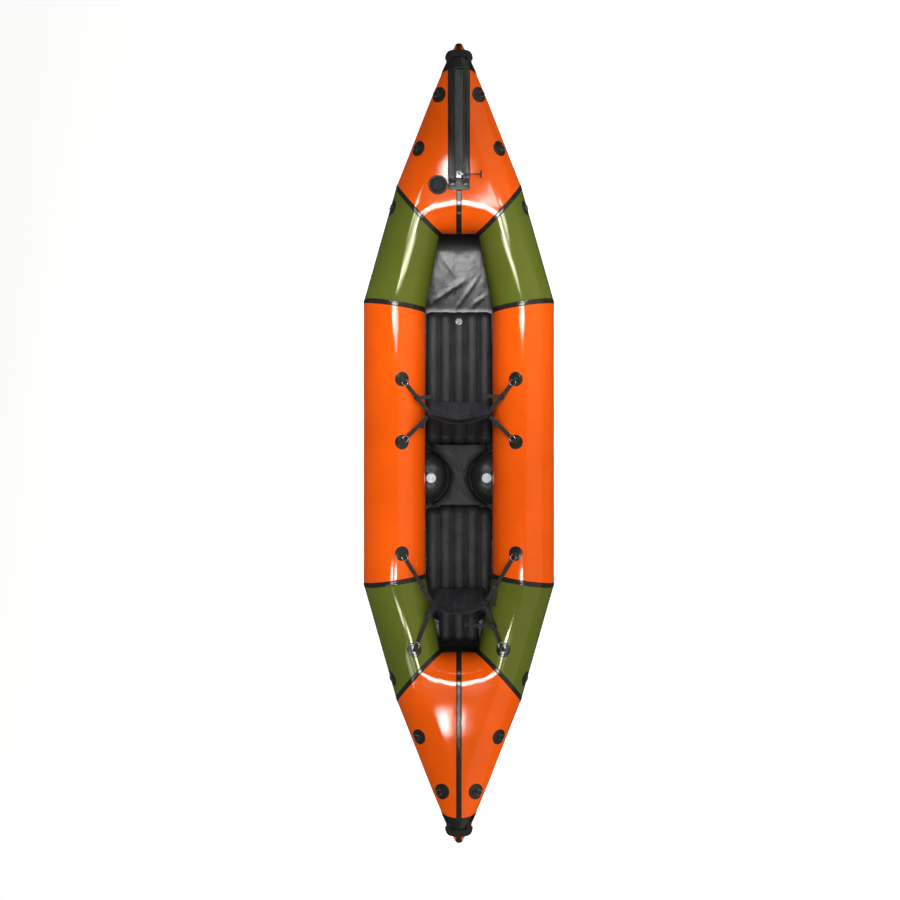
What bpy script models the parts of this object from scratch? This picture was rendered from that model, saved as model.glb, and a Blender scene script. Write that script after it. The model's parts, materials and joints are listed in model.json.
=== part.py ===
"""Two-person double-ended packraft, built as separate named pieces.

Metres, +Z up, the floor sheet rests on z = 0, +Y is the bow (the end with the cargo zip).
The air chamber is a row of open thin-walled tubes that meet at seam rings.
"""

import math

import bmesh
import bpy
from mathutils import Matrix, Vector
from mathutils.bvhtree import BVHTree

for old in list(bpy.data.objects):
    bpy.data.objects.remove(old, do_unlink=True)

# Hull: driving sizes
TUBE_RADIUS = 0.162          # of the straight side tubes
COCKPIT_HALF = 0.176         # half the width between the side tubes
SIDE_HALF = 0.719            # half the length of a side tube
SIDE_SLANT = 0.024           # how much farther out the side seam lies at the outer edge
CORNER_LENGTH = 0.498        # along the boat, between the two seams of a corner tube
CORNER_TURN = 0.126          # how far a corner tube's centre line comes inward
CORNER_RISE = 0.0512         # how much higher its underside is at the end seam
END_RADIUS = 0.150           # half the height of the chamber at the end seam
END_SEAM_IN = 0.114          # half the end seam's run across the boat
END_SEAM_ALONG = 0.124       # half the end seam's run along the boat
SEAM_LEAN = 0.038            # how far the top of the end seam leans toward the cockpit
CONE_LENGTH = 0.815          # from the end seam's centre to the tip
TIP_HALF_WIDTH = 0.015
TIP_HALF_HEIGHT = 0.020
TIP_LIFT = 0.042             # how much higher the deck is at the tip than at the end seam
NOSE_BULGE = 0.009           # how far the outline bows out of a straight line
WALL = 0.0012                # coated fabric of the chamber
GAP = 0.0003                 # between pieces that touch
SHEET = 0.0015               # floor sheet
SHEET_MARGIN = 0.030         # of the sheet past the tubes' lowest line
WEBBING = 0.0016             # thickness of every strap

# Round and ring counts
TUBE_SIDES = 28
CORNER_SPANS = 3
HALF_RAYS = 8                # rays of an end cone from its seam to its middle

# Derived places
TUBE_Z = SHEET + GAP + TUBE_RADIUS
TUBE_SPREAD = COCKPIT_HALF + TUBE_RADIUS  # from the middle of the boat to a side tube's centre line
END_X = TUBE_SPREAD - CORNER_TURN
END_Y = SIDE_HALF + CORNER_LENGTH
END_Z = SHEET + GAP + CORNER_RISE + END_RADIUS
WALL_Y = END_Y - END_SEAM_ALONG          # cockpit end wall
WALL_HALF = END_X - END_SEAM_IN          # half its width
OUT_X = END_X + END_SEAM_IN              # outer end of the seam
OUT_Y = END_Y + END_SEAM_ALONG
TIP_Y = END_Y + CONE_LENGTH
SEAM_HALF = math.hypot(END_SEAM_IN, END_SEAM_ALONG)
RIDGE_Y = WALL_Y + END_RADIUS            # here the deck reaches its full height
OUTLINE_SLOPE = (OUT_X - TIP_HALF_WIDTH) / (TIP_Y - OUT_Y)
OUTLINE_COS = 1 / math.hypot(1, OUTLINE_SLOPE)
OUTER_ROUND = (OUT_X - END_X + OUTLINE_SLOPE * END_SEAM_ALONG) * OUTLINE_COS
DECK_SLOPE = TIP_LIFT / (TIP_Y - RIDGE_Y)
DECK_ANGLE = math.atan(DECK_SLOPE)

# Colours as seen in the photo, 0 to 255
ORANGE = (236, 92, 14)
GREEN = (98, 112, 36)
BLACK = (40, 40, 38)
MAT_GREY = (38, 38, 40)
SHEET_GREY = (58, 58, 60)
CHAIN_GREY = (70, 72, 70)
METAL = (190, 190, 190)
CAP_WHITE = (228, 232, 240)
VALVE_SILVER = (200, 202, 204)


def material(name, colour, roughness, metallic=0.0):
    """A Principled material from an 8-bit colour."""
    made = bpy.data.materials.new(name)
    made.use_nodes = True
    surface = made.node_tree.nodes["Principled BSDF"]
    linear = [((c / 255 + 0.055) / 1.055) ** 2.4 for c in colour]
    surface.inputs["Base Color"].default_value = (*linear, 1)
    surface.inputs["Roughness"].default_value = roughness
    surface.inputs["Metallic"].default_value = metallic
    return made


def add_piece(name, shape, colour, roughness, metallic=0.0, origin=(0, 0, 0), turn=None):
    """One named object from (points, faces); points are measured from its origin."""
    points, faces = shape
    mesh = bpy.data.meshes.new(name)
    mesh.from_pydata([tuple(p) for p in points], [], faces)
    made = bmesh.new()
    made.from_mesh(mesh)
    bmesh.ops.recalc_face_normals(made, faces=made.faces)
    made.to_mesh(mesh)
    made.free()
    piece = bpy.data.objects.new(name, mesh)
    bpy.context.scene.collection.objects.link(piece)
    piece.location = origin
    if turn is not None:
        piece.rotation_mode = "QUATERNION"
        piece.rotation_quaternion = turn.to_quaternion()
    mesh.materials.append(material(name, colour, roughness, metallic))
    return piece


def loft(rings, closed=True, split=False):
    """Skin a row of matched closed rings, with a flat cap on each end if closed.

    Quads are split here where another piece has to lie on their exact facets.
    """
    count = len(rings[0])
    points = [p for ring in rings for p in ring]
    faces = []
    for i in range(len(rings) - 1):
        for j in range(count):
            k = (j + 1) % count
            quad = (i * count + j, i * count + k, (i + 1) * count + k, (i + 1) * count + j)
            faces += [quad[:3], (quad[0], quad[2], quad[3])] if split else [quad]
    if closed:
        last = (len(rings) - 1) * count
        faces.append(tuple(range(count)))
        faces.append(tuple(last + j for j in range(count)))
    return points, faces


def ribbon(rings):
    """A thin strip from rings of four corners; both sides split along the same diagonals as it twists."""
    points = [p for ring in rings for p in ring]
    faces = [(0, 1, 2, 3)]
    for i in range(len(rings) - 1):
        a = 4 * i
        b = a + 4
        faces += [(a, a + 1, b + 1), (a, b + 1, b)]
        faces += [(a + 1, a + 2, b + 2, b + 1)]
        faces += [(a + 2, a + 3, b + 2), (a + 3, b + 3, b + 2)]
        faces += [(a + 3, a, b, b + 3)]
    last = 4 * len(rings) - 4
    faces.append((last, last + 1, last + 2, last + 3))
    return points, faces


def shell(outer, inner):
    """An open thin-walled tube from matched outer and inner rings."""
    points, faces = loft(outer, closed=False, split=True)
    more_points, more_faces = loft(inner, closed=False, split=True)
    start = len(points)
    count = len(outer[0])
    faces += [tuple(start + v for v in face) for face in more_faces]
    for first in (0, (len(outer) - 1) * count):
        for j in range(count):
            k = (j + 1) % count
            faces.append((first + j, first + k, start + first + k, start + first + j))
    return points + more_points, faces


def slab(lower, upper):
    """A closed sheet between two matched grids of points."""
    rows = len(lower)
    columns = len(lower[0])
    border = [(i, 0) for i in range(rows)]
    border += [(rows - 1, j) for j in range(1, columns)]
    border += [(i, columns - 1) for i in range(rows - 2, -1, -1)]
    border += [(0, j) for j in range(columns - 2, 0, -1)]
    points = [p for row in lower for p in row] + [p for row in upper for p in row]
    faces = []
    for level in (0, rows * columns):
        for i in range(rows - 1):
            for j in range(columns - 1):
                a = level + i * columns + j
                faces.append((a, a + 1, a + columns + 1, a + columns))
    for (i, j), (m, n) in zip(border, border[1:] + border[:1]):
        a = i * columns + j
        b = m * columns + n
        faces.append((a, b, b + rows * columns, a + rows * columns))
    return points, faces


def spun(profile, sides=24):
    """A solid turned about Z from (radius, height) points; the first and last lie on the axis."""
    rings = []
    for radius, height in profile[1:-1]:
        rings.append([
            Vector((radius * math.cos(math.tau * j / sides), radius * math.sin(math.tau * j / sides), height))
            for j in range(sides)
        ])
    points, faces = loft(rings, closed=False)
    for ring, height in ((0, profile[0][1]), (len(rings) - 1, profile[-1][1])):
        centre = len(points)
        points.append(Vector((0, 0, height)))
        for j in range(sides):
            faces.append((ring * sides + j, ring * sides + (j + 1) % sides, centre))
    return points, faces


def closed_wire(path, radius, sides=6):
    """A round wire along a closed path that lies in the plane z = 0."""
    count = len(path)
    points = []
    for i, point in enumerate(path):
        along = (path[(i + 1) % count] - path[i - 1]).normalized()
        side = along.cross(Vector((0, 0, 1)))
        for j in range(sides):
            angle = math.tau * j / sides
            points.append(point + side * math.cos(angle) * radius + Vector((0, 0, math.sin(angle) * radius)))
    rings = [points[i * sides:(i + 1) * sides] for i in range(count)]
    faces = loft(rings + [rings[0]], closed=False)[1]
    return points, [tuple(v % len(points) for v in face) for face in faces]


def frame_at(point, normal, forward):
    """A placement at point with Z along normal and X near forward."""
    up = Vector(normal).normalized()
    ahead = Vector(forward) - up * Vector(forward).dot(up)
    ahead.normalize()
    side = up.cross(ahead)
    matrix = Matrix((ahead, side, up)).transposed().to_4x4()
    matrix.translation = Vector(point)
    return matrix


# Hull: rings, cones and what is measured on them
def side_ring(end, y_shift, inset):
    """The ring where a right-hand side tube meets its corner tube; end is 1 at the bow."""
    ring = []
    for j in range(TUBE_SIDES):
        angle = math.tau * j / TUBE_SIDES
        radius = TUBE_RADIUS - inset
        ring.append(Vector((
            TUBE_SPREAD + radius * math.cos(angle),
            end * (SIDE_HALF + SIDE_SLANT * math.cos(angle) * radius / TUBE_RADIUS + y_shift),
            TUBE_Z + radius * math.sin(angle),
        )))
    return ring


def end_ring(end, y_shift, inset):
    """The leaning ring where a right-hand corner tube meets the end cone."""
    ring = []
    flat = 1 - inset / SEAM_HALF
    tall = 1 - inset / END_RADIUS
    for j in range(TUBE_SIDES):
        angle = math.tau * j / TUBE_SIDES
        along = END_SEAM_ALONG * math.cos(angle) * flat - SEAM_LEAN * math.sin(angle)
        ring.append(Vector((
            END_X + END_SEAM_IN * math.cos(angle) * flat,
            end * (END_Y + along + y_shift),
            END_Z + END_RADIUS * math.sin(angle) * tall,
        )))
    return ring


def mirrored(rings, side):
    """Rings of the right-hand side, moved over to the left where side is -1."""
    return [[Vector((side * p.x, p.y, p.z)) for p in ring] for ring in rings]


def corner_rings(end, inset):
    """All rings of a right-hand corner tube, straight from one seam to the other."""
    first = side_ring(end, GAP / 2, inset)
    last = end_ring(end, -GAP / 2, inset)
    rings = []
    for i in range(CORNER_SPANS + 1):
        share = i / CORNER_SPANS
        rings.append([a.lerp(b, share) for a, b in zip(first, last)])
    return rings


def outline_half(y):
    """Half the width of the end cone's outline at y."""
    share = (TIP_Y - y) / (TIP_Y - OUT_Y)
    bulge = NOSE_BULGE * math.sin(math.pi * min(max(1 - share, 0), 1) ** 2)
    return TIP_HALF_WIDTH + (OUT_X - TIP_HALF_WIDTH) * share + bulge


def rounded(distance, reach):
    """Height of a quarter ellipse, 0 at its edge and 1 from reach inward."""
    u = min(max(distance / reach, 0), 1)
    return math.sqrt(u * (2 - u))


def cone_levels(x, y):
    """Middle height and half thickness of the end cone at a place on its plan."""
    across = abs(x)
    beyond = max(across - WALL_HALF, 0)
    start = max(RIDGE_Y, WALL_Y + beyond * END_SEAM_ALONG / END_SEAM_IN)
    share = min(max((y - start) / (TIP_Y - start), 0), 1)
    tip_middle = END_Z + END_RADIUS + TIP_LIFT - TIP_HALF_HEIGHT
    middle = END_Z + (tip_middle - END_Z) * share
    half = END_RADIUS + (TIP_HALF_HEIGHT - END_RADIUS) * share
    from_wall = math.hypot(beyond, max(y - WALL_Y, 0))
    turn = beyond / max(beyond + y - WALL_Y, 1e-6)
    seam_turn = END_SEAM_IN / (END_SEAM_IN + END_SEAM_ALONG)
    inner_round = END_RADIUS + (SEAM_HALF - END_RADIUS) * min(turn / seam_turn, 1)
    outer_round = min(OUTER_ROUND, max(outline_half(y), TIP_HALF_WIDTH) * OUTLINE_COS)
    from_edge = (outline_half(y) - across) * OUTLINE_COS
    return middle, half * rounded(from_wall, inner_round) * rounded(from_edge, outer_round), half


def cone_ring(end, ray, side, inset):
    """One closed ring of the end cone, over the line from the cockpit wall to the outline.

    Ray 0 is the seam and ray HALF_RAYS runs down the middle of the boat.
    """
    share = ray / HALF_RAYS
    inner = Vector((WALL_HALF * (1 - share), WALL_Y))
    if ray == HALF_RAYS:
        outer = Vector((0, TIP_Y))
    else:
        along = math.sin(math.pi / 2 * ray / (HALF_RAYS - 1))
        y = OUT_Y + (TIP_Y - 2 * TIP_HALF_WIDTH / 3 - OUT_Y) * along
        outer = Vector((outline_half(y), y))
    half_run = (outer - inner) / 2
    centre = (outer + inner) / 2
    lean = SEAM_LEAN * (1 - share) ** 2
    flat = 1 - inset / half_run.length
    ring = []
    for j in range(TUBE_SIDES):
        angle = math.tau * j / TUBE_SIDES
        place = centre + half_run * math.cos(angle)
        middle, height, half = cone_levels(place.x, place.y)
        rise = height * (1 if math.sin(angle) > 0 else -1) * (1 - inset / half)
        if abs(math.sin(angle)) < 1e-9:
            rise = 0
        spot = centre + half_run * math.cos(angle) * flat
        ring.append(Vector((
            side * spot.x,
            end * (spot.y - lean * math.sin(angle)),
            middle + rise,
        )))
    return ring


def cone_rings(end, inset):
    """All rings of one end cone, from the right-hand seam round to the left-hand one."""
    rings = [end_ring(end, GAP / 2, inset)]
    rings += [cone_ring(end, ray, 1, inset) for ray in range(1, HALF_RAYS + 1)]
    rings += [cone_ring(end, ray, -1, inset) for ray in range(HALF_RAYS - 1, 0, -1)]
    rings += mirrored([end_ring(end, GAP / 2, inset)], -1)
    return rings


def hull_tree(rings):
    """A surface that points can be dropped onto."""
    points, faces = loft(rings, closed=False, split=True)
    return BVHTree.FromPolygons(points, faces)


CONE_TREES = {end: hull_tree(cone_rings(end, 0)) for end in (1, -1)}
SIDE_TREES = {
    side: hull_tree(mirrored([side_ring(-1, 0, 0), side_ring(1, 0, 0)], side)) for side in (1, -1)
}
CORNER_TREES = {
    (end, side): hull_tree(mirrored(corner_rings(end, 0), side)) for end in (1, -1) for side in (1, -1)
}


def deck(x, y):
    """The point of the end cone's top above a place on its plan."""
    end = 1 if y > 0 else -1
    hit = CONE_TREES[end].ray_cast(Vector((x, y, 1)), Vector((0, 0, -1)))[0]
    return hit


def deck_normal(x, y, reach=0.006):
    """The outward direction there, from four points around it."""
    along_x = deck(x + reach, y) - deck(x - reach, y)
    along_y = deck(x, y + reach) - deck(x, y - reach)
    return along_x.cross(along_y).normalized()


def tube_under(point):
    """The surface of the length of tube that carries a piece there."""
    end = 1 if point.y > 0 else -1
    side = 1 if point.x > 0 else -1
    across = abs(point.x)
    if abs(point.y) < SIDE_HALF:
        return SIDE_TREES[side]
    if abs(point.y) < END_Y and across > END_X - END_SEAM_IN / 2 or across > OUT_X:
        return CORNER_TREES[end, side]
    return CONE_TREES[end]


def seating(points, normal, clear):
    """How far to move points along normal so that the nearest is clear of the tube."""
    shift = 0.0
    for _ in range(4):
        least = 1.0
        for point in points:
            spot = point + normal * shift
            offset = spot - tube_under(spot).find_nearest(spot)[0]
            least = min(least, math.copysign(offset.length, offset.dot(normal)))
        shift += clear - least
    return shift


def corner_point(end, angle, share):
    """A point on a right-hand corner tube and the outward direction there."""
    def at(turn, part):
        first = side_frame_point(end, turn)
        last = end_frame_point(end, turn)
        return first.lerp(last, part)
    point = at(angle, share)
    around = at(angle + 0.02, share) - at(angle - 0.02, share)
    along = at(angle, min(share + 0.02, 1)) - at(angle, share)
    normal = around.cross(along).normalized()
    centre = Vector((TUBE_SPREAD, end * SIDE_HALF, TUBE_Z)).lerp(Vector((END_X, end * END_Y, END_Z)), share)
    if normal.dot(point - centre) < 0:
        normal = -normal
    return point, normal


def side_frame_point(end, angle):
    """A point of the side seam by its angle."""
    return Vector((
        TUBE_SPREAD + TUBE_RADIUS * math.cos(angle),
        end * (SIDE_HALF + SIDE_SLANT * math.cos(angle)),
        TUBE_Z + TUBE_RADIUS * math.sin(angle),
    ))


def end_frame_point(end, angle):
    """A point of the end seam by its angle."""
    return Vector((
        END_X + END_SEAM_IN * math.cos(angle),
        end * (END_Y + END_SEAM_ALONG * math.cos(angle) - SEAM_LEAN * math.sin(angle)),
        END_Z + END_RADIUS * math.sin(angle),
    ))


SIDES = (("left", -1), ("right", 1))
ENDS = (("bow", 1), ("stern", -1))


def build_hull():
    """Side tubes, corner tubes and end cones."""
    for side_name, side in SIDES:
        rings = {}
        for inset in (0, WALL):
            rings[inset] = mirrored([side_ring(-1, -GAP / 2, inset), side_ring(1, -GAP / 2, inset)], side)
        add_piece(f"side_tube_{side_name}", shell(rings[0], rings[WALL]), ORANGE, 0.3)
        for end_name, end in ENDS:
            outer = mirrored(corner_rings(end, 0), side)
            inner = mirrored(corner_rings(end, WALL), side)
            add_piece(f"corner_tube_{end_name}_{side_name}", shell(outer, inner), GREEN, 0.3)
    for end_name, end in ENDS:
        add_piece(f"{end_name}_tube", shell(cone_rings(end, 0), cone_rings(end, WALL)), ORANGE, 0.3)


def deck_stations(near, far):
    """Distances along the middle of an end cone, with one at every facet's edge."""
    middle = (TIP_Y + WALL_Y) / 2
    half_run = (TIP_Y - WALL_Y) / 2
    between = [middle + half_run * math.cos(math.tau * j / TUBE_SIDES) for j in range(TUBE_SIDES // 2)]
    return [near] + sorted(y for y in between if near + 0.001 < y < far - 0.001) + [far]


def sheet_lift(y):
    """How far the floor sheet has risen at y: flat in the middle, then along the corner tubes."""
    return CORNER_RISE * max(abs(y) - SIDE_HALF, 0) / (CORNER_LENGTH + SEAM_LEAN)


def build_floor_sheet():
    """One sheet, flat under the side tubes and rising along the corner tubes' undersides."""
    stations = []
    for y in (-RIDGE_Y, -SIDE_HALF, SIDE_HALF, RIDGE_Y):
        share = sheet_lift(y) / CORNER_RISE
        stations.append((y, TUBE_SPREAD - CORNER_TURN * share + SHEET_MARGIN, sheet_lift(y)))
    rows = {}
    for level in (0, SHEET):
        rows[level] = [[Vector((x, y, lift + level)) for x in (-half, half)] for y, half, lift in stations]
    add_piece("floor_sheet", slab(rows[0], rows[SHEET]), SHEET_GREY, 0.25)


def deck_skin(name, rows, lift, thickness, colour, roughness):
    """A thin sheet lying on an end cone, from rows of (x, y) places."""
    lower = []
    upper = []
    for row in rows:
        normals = [deck_normal(x, y) for x, y in row]
        lower.append([deck(x, y) + n * lift for (x, y), n in zip(row, normals)])
        upper.append([deck(x, y) + n * (lift + thickness) for (x, y), n in zip(row, normals)])
    return add_piece(name, slab(lower, upper), colour, roughness)


# Bow and stern trim
CENTRE_TAPE = 0.028          # width of the tape down the middle of each end
BOW_TAPE_END = WALL_Y + 0.193
STERN_TAPE_END = TIP_Y - 0.156
PATCH_START = TIP_Y - 0.124  # wear patch on each nose
PATCH_LENGTH = 0.072
PATCH_INSET = 0.018          # of its sides from the hull's outline
HANDLE_WIDTH = 0.036
HANDLE_ROOT_Y = TIP_Y - 0.139  # sewn ends of the grab handle
HANDLE_ROOT_X = outline_half(HANDLE_ROOT_Y) + 0.0014
HANDLE_REACH = 0.099         # from the sewn ends to where it crosses the nose
HANDLE_CORNER_X = 0.064
HANDLE_LIFT = 0.007          # of its crossing over the nose
SKIN_LIFT = 0.0007           # under a skin laid on the round of a tube
SKIN = 0.0012


def build_centre_tapes():
    """The tape over the middle of each end, from the cockpit wall outward."""
    for name, end, far in (("bow", 1, BOW_TAPE_END), ("stern", -1, STERN_TAPE_END)):
        rows = []
        for y in deck_stations(WALL_Y + 0.010, far):
            rows.append([(x, end * y) for x in (-CENTRE_TAPE / 2, 0, CENTRE_TAPE / 2)])
        deck_skin(f"{name}_centre_tape", rows, SKIN_LIFT, SKIN, BLACK, 0.45)


def build_end_patches():
    """The black wear patch over each nose."""
    for name, end in ENDS:
        rows = []
        for y in deck_stations(PATCH_START, PATCH_START + PATCH_LENGTH):
            half = outline_half(y) - PATCH_INSET
            rows.append([(half * (share / 6 - 1), end * y) for share in range(13)])
        deck_skin(f"{name}_end_patch", rows, 2 * SKIN_LIFT, SKIN, BLACK, 0.4)


def build_grab_handles():
    """A wide webbing arch over each nose, turning about its sewn ends."""
    for name, end in ENDS:
        middle, _, _ = cone_levels(0, HANDLE_ROOT_Y)
        crest = deck(0, end * (HANDLE_ROOT_Y + HANDLE_REACH)).z + WEBBING + HANDLE_LIFT
        lift = crest - middle
        nose = (
            (HANDLE_ROOT_X, 0.000, 0.0, 0.0),
            (HANDLE_ROOT_X - 0.011, 0.030, 0.20, 0.0),
            (HANDLE_CORNER_X, 0.062, 0.48, 0.15),
            (HANDLE_CORNER_X - 0.004, 0.082, 0.72, 0.45),
            (HANDLE_CORNER_X - 0.024, 0.094, 0.93, 0.85),
            (HANDLE_CORNER_X - 0.046, HANDLE_REACH, 1.0, 1.0),
        )
        path = [(x, y, z, t) for x, y, z, t in nose]
        path += [(-x, y, z, t) for x, y, z, t in reversed(nose)]
        centres = [Vector((x, end * y, z * lift)) for x, y, z, _ in path]
        rings = []
        for i, (x, y, z, twist) in enumerate(path):
            before = centres[max(i - 1, 0)]
            after = centres[min(i + 1, len(centres) - 1)]
            along = (after - before).normalized()
            wide = Vector((0, 0, 1)).lerp(Vector((0, end, 0)), twist)
            wide = (wide - along * wide.dot(along)).normalized()
            thin = along.cross(wide)
            half = wide * HANDLE_WIDTH / 2
            rings.append([
                centres[i] - half - thin * WEBBING / 2,
                centres[i] + half - thin * WEBBING / 2,
                centres[i] + half + thin * WEBBING / 2,
                centres[i] - half + thin * WEBBING / 2,
            ])
        add_piece(
            f"{name}_grab_handle", ribbon(rings), BLACK, 0.6,
            origin=(0, end * HANDLE_ROOT_Y, middle),
        )


# Cargo zip
ZIP_HALF = 0.0565            # half the width of the welded tape
ZIP_START = WALL_Y + 0.257
ZIP_LENGTH = 0.553
CHAIN_HALF = 0.020
CHAIN_HEIGHT = 0.0045
DOCK_LENGTH = 0.058
DOCK_HEIGHT = 0.012
SLIDER_LENGTH = 0.034
SLIDER_HALF = 0.014
SLIDER_HEIGHT = 0.010
PULL_LENGTH = 0.118          # of the T-shaped pull, from its hinge over the slider
PULL_THICK = 0.006
PULL_STEM = 0.0045           # half its stem's width
PULL_NOSE = 0.0028           # how far the stem reaches past the hinge
PULL_BAR = 0.042
PULL_BAR_DEPTH = 0.010


def deck_box(name, centre, half, height, lift, colour, roughness, metallic=0.0):
    """A bevelled block standing on the deck at centre (x, y)."""
    spot = deck(*centre)
    turn = Matrix.Rotation(DECK_ANGLE, 3, "X")
    made = bmesh.new()
    bmesh.ops.create_cube(made, size=1)
    bmesh.ops.scale(made, vec=(2 * half[0], 2 * half[1], height), verts=made.verts)
    bmesh.ops.translate(made, vec=(0, 0, lift + height / 2), verts=made.verts)
    bmesh.ops.bevel(made, geom=made.edges[:], offset=height * 0.22, segments=1, affect="EDGES")
    points = [v.co.copy() for v in made.verts]
    faces = [tuple(v.index for v in f.verts) for f in made.faces]
    made.free()
    return add_piece(name, (points, faces), colour, roughness, metallic, origin=spot, turn=turn)


def build_zip():
    """Tape, chain, dock, slider and T-shaped pull on the bow deck."""
    rows = []
    chain_rows = []
    for y in deck_stations(ZIP_START, ZIP_START + ZIP_LENGTH):
        rows.append([(ZIP_HALF * share, y) for share in (-1, -0.86, -0.7, -0.36, 0.36, 0.7, 0.86, 1)])
    for y in deck_stations(ZIP_START + GAP, ZIP_START + ZIP_LENGTH - 0.012):
        chain_rows.append([(x, y) for x in (-CHAIN_HALF, CHAIN_HALF)])
    deck_skin("zip_tape", rows, 2 * SKIN_LIFT, SKIN, BLACK, 0.5)
    chain_lift = 2 * SKIN_LIFT + SKIN + GAP
    deck_skin("zip_chain", chain_rows, chain_lift, CHAIN_HEIGHT, CHAIN_GREY, 0.4)
    dock_y = ZIP_START - GAP - DOCK_LENGTH / 2
    deck_box("zip_dock", (0, dock_y), (ZIP_HALF, DOCK_LENGTH / 2), DOCK_HEIGHT, SKIN_LIFT, BLACK, 0.35)
    slider_y = ZIP_START + 0.002 + SLIDER_LENGTH / 2
    slider_lift = chain_lift + CHAIN_HEIGHT + 2 * GAP
    deck_box(
        "zip_slider", (0, slider_y), (SLIDER_HALF, SLIDER_LENGTH / 2), SLIDER_HEIGHT, slider_lift,
        METAL, 0.3, 1.0,
    )
    hinge_lift = slider_lift + SLIDER_HEIGHT + GAP + PULL_THICK / 2
    bar = PULL_BAR / 2
    neck = PULL_LENGTH - PULL_BAR_DEPTH
    rings = []
    for share, root in ((-0.5, 0), (-0.17, -PULL_NOSE), (0.17, -PULL_NOSE), (0.5, 0)):
        corners = [
            (root, -PULL_STEM), (neck - 0.002, -PULL_STEM), (neck, -bar), (PULL_LENGTH, -bar),
            (PULL_LENGTH, bar), (neck, bar), (neck - 0.002, PULL_STEM), (root, PULL_STEM),
        ]
        rings.append([Vector((x, y, share * PULL_THICK)) for x, y in corners])
    normal = Vector((0, -math.sin(DECK_ANGLE), math.cos(DECK_ANGLE)))
    hinge = deck(0, slider_y) + normal * hinge_lift
    add_piece("zip_pull", loft(rings), BLACK, 0.5, origin=hinge, turn=Matrix.Rotation(DECK_ANGLE, 3, "X"))


# Valves
MAIN_VALVE = (-0.107, WALL_Y + 0.225)
VALVE_FLANGE = 0.047
VALVE_COLLAR = 0.034
MAIN_CAP = 0.030
MAT_VALVE_Y = SIDE_HALF - 0.071
MAT_VALVE_RADIUS = 0.020
BOLSTER_CAP = 0.0265
BOLSTER_CAP_X = 0.147
CAP_HEIGHT = 0.012


def build_main_valve():
    """Flange and collar with a quarter-turn cap, square to the bow deck."""
    spot = deck(*MAIN_VALVE)
    turn = Matrix.Rotation(DECK_ANGLE, 3, "X")
    flange = SKIN_LIFT + 0.003
    collar = flange + 0.007
    body = [
        (0, SKIN_LIFT), (VALVE_FLANGE, SKIN_LIFT), (VALVE_FLANGE, flange),
        (VALVE_COLLAR + 0.003, flange + 0.001), (VALVE_COLLAR, collar), (0, collar),
    ]
    add_piece("main_valve_body", spun(body, 32), BLACK, 0.4, origin=spot, turn=turn)
    low = collar + GAP
    cap = [
        (0, low), (MAIN_CAP, low), (MAIN_CAP, low + 0.009), (MAIN_CAP - 0.003, low + CAP_HEIGHT),
        (0.012, low + CAP_HEIGHT - 0.002), (0, low + CAP_HEIGHT - 0.002),
    ]
    add_piece("main_valve_cap", spun(cap, 24), BLACK, 0.35, origin=spot, turn=turn)


def knurled_cap(radius, height, ribs):
    """A flat-topped cap with ribs round its edge."""
    sides = ribs * 2
    rings = []
    for level, inset in ((0, 0), (0.75, 0), (1, 0.12)):
        ring = []
        for j in range(sides):
            reach = radius * (1 - inset) - (0.0015 if j % 2 else 0)
            angle = math.tau * j / sides
            ring.append(Vector((reach * math.cos(angle), reach * math.sin(angle), level * height)))
        rings.append(ring)
    return loft(rings)


# Floor mats
MAT_PITCH = 0.070            # of the lengthwise channels
MAT_CHANNELS = 5
MAT_BOTTOM = SHEET + GAP
MAT_TOP = 0.065
MAT_GROOVE = 0.017           # depth of the grooves between channels
FRONT_MAT = (-0.005, SIDE_HALF - 0.013)
REAR_MAT_FRONT = -0.336
REAR_MAT_BACK = -SIDE_HALF - 0.350  # of the middle channels
REAR_MAT_SHOULDER = -SIDE_HALF - 0.211  # of the two outer channels
LINK_WAIST_GAP = 0.012
LINK_TOP = 0.046
LINK_EDGE = MAT_BOTTOM + 0.012
MAT_ROUND = 0.045


def channel_places():
    """Across the mat: x, rise of the channel there from 0 to 1, and which channel."""
    places = []
    steps = 5
    for channel in range(MAT_CHANNELS):
        for step in range(steps):
            u = 2 * step / steps - 1
            x = (channel - MAT_CHANNELS / 2 + step / steps) * MAT_PITCH
            places.append((x, math.sqrt(1 - u * u), channel))
    places.append((MAT_CHANNELS / 2 * MAT_PITCH, 0, MAT_CHANNELS - 1))
    return places


def mat_shape(front_of, back_of, bend=None):
    """A channelled mat; front_of and back_of give its ends at (x, rise, channel).

    It follows the floor sheet, which starts to rise at the bend.
    """
    shares = (0, 0.12, 0.4, 1)
    stations = [(share, "front") for share in shares]
    if bend is not None:
        stations.append((1, "bend"))
    stations += [(share, "back") for share in reversed(shares)]
    places = channel_places()
    rings = []
    for share, end in stations:
        upper = []
        lower = []
        swell = 0.25 + 0.75 * rounded(share, 1)
        for x, rise, channel in places:
            y = {
                "front": front_of(x, rise, channel) - MAT_ROUND * share,
                "bend": bend,
                "back": back_of(x, rise, channel) + MAT_ROUND * share,
            }[end]
            low = MAT_BOTTOM + sheet_lift(y)
            high = MAT_TOP - MAT_BOTTOM - MAT_GROOVE * (1 - rise)
            upper.append(Vector((x, y, low + high * swell)))
            lower.append(Vector((x * 0.985, y, low)))
        rings.append(upper + lower[::-1])
    count = len(places)
    points, faces = loft(rings, closed=False)
    for first in (0, (len(rings) - 1) * 2 * count):
        for j in range(count - 1):
            low = 2 * count - 1 - j
            faces.append((first + j, first + j + 1, first + low - 1, first + low))
    return points, faces


def bolster_inner(y):
    """How near the middle of the boat a bolster reaches at y."""
    v = min(abs(y - BOLSTER_Y) / BOLSTER_HALF, 1)
    return BOLSTER_REACH + (BOLSTER_OUT - BOLSTER_REACH) * (1 - math.sqrt(1 - v * v))


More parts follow.
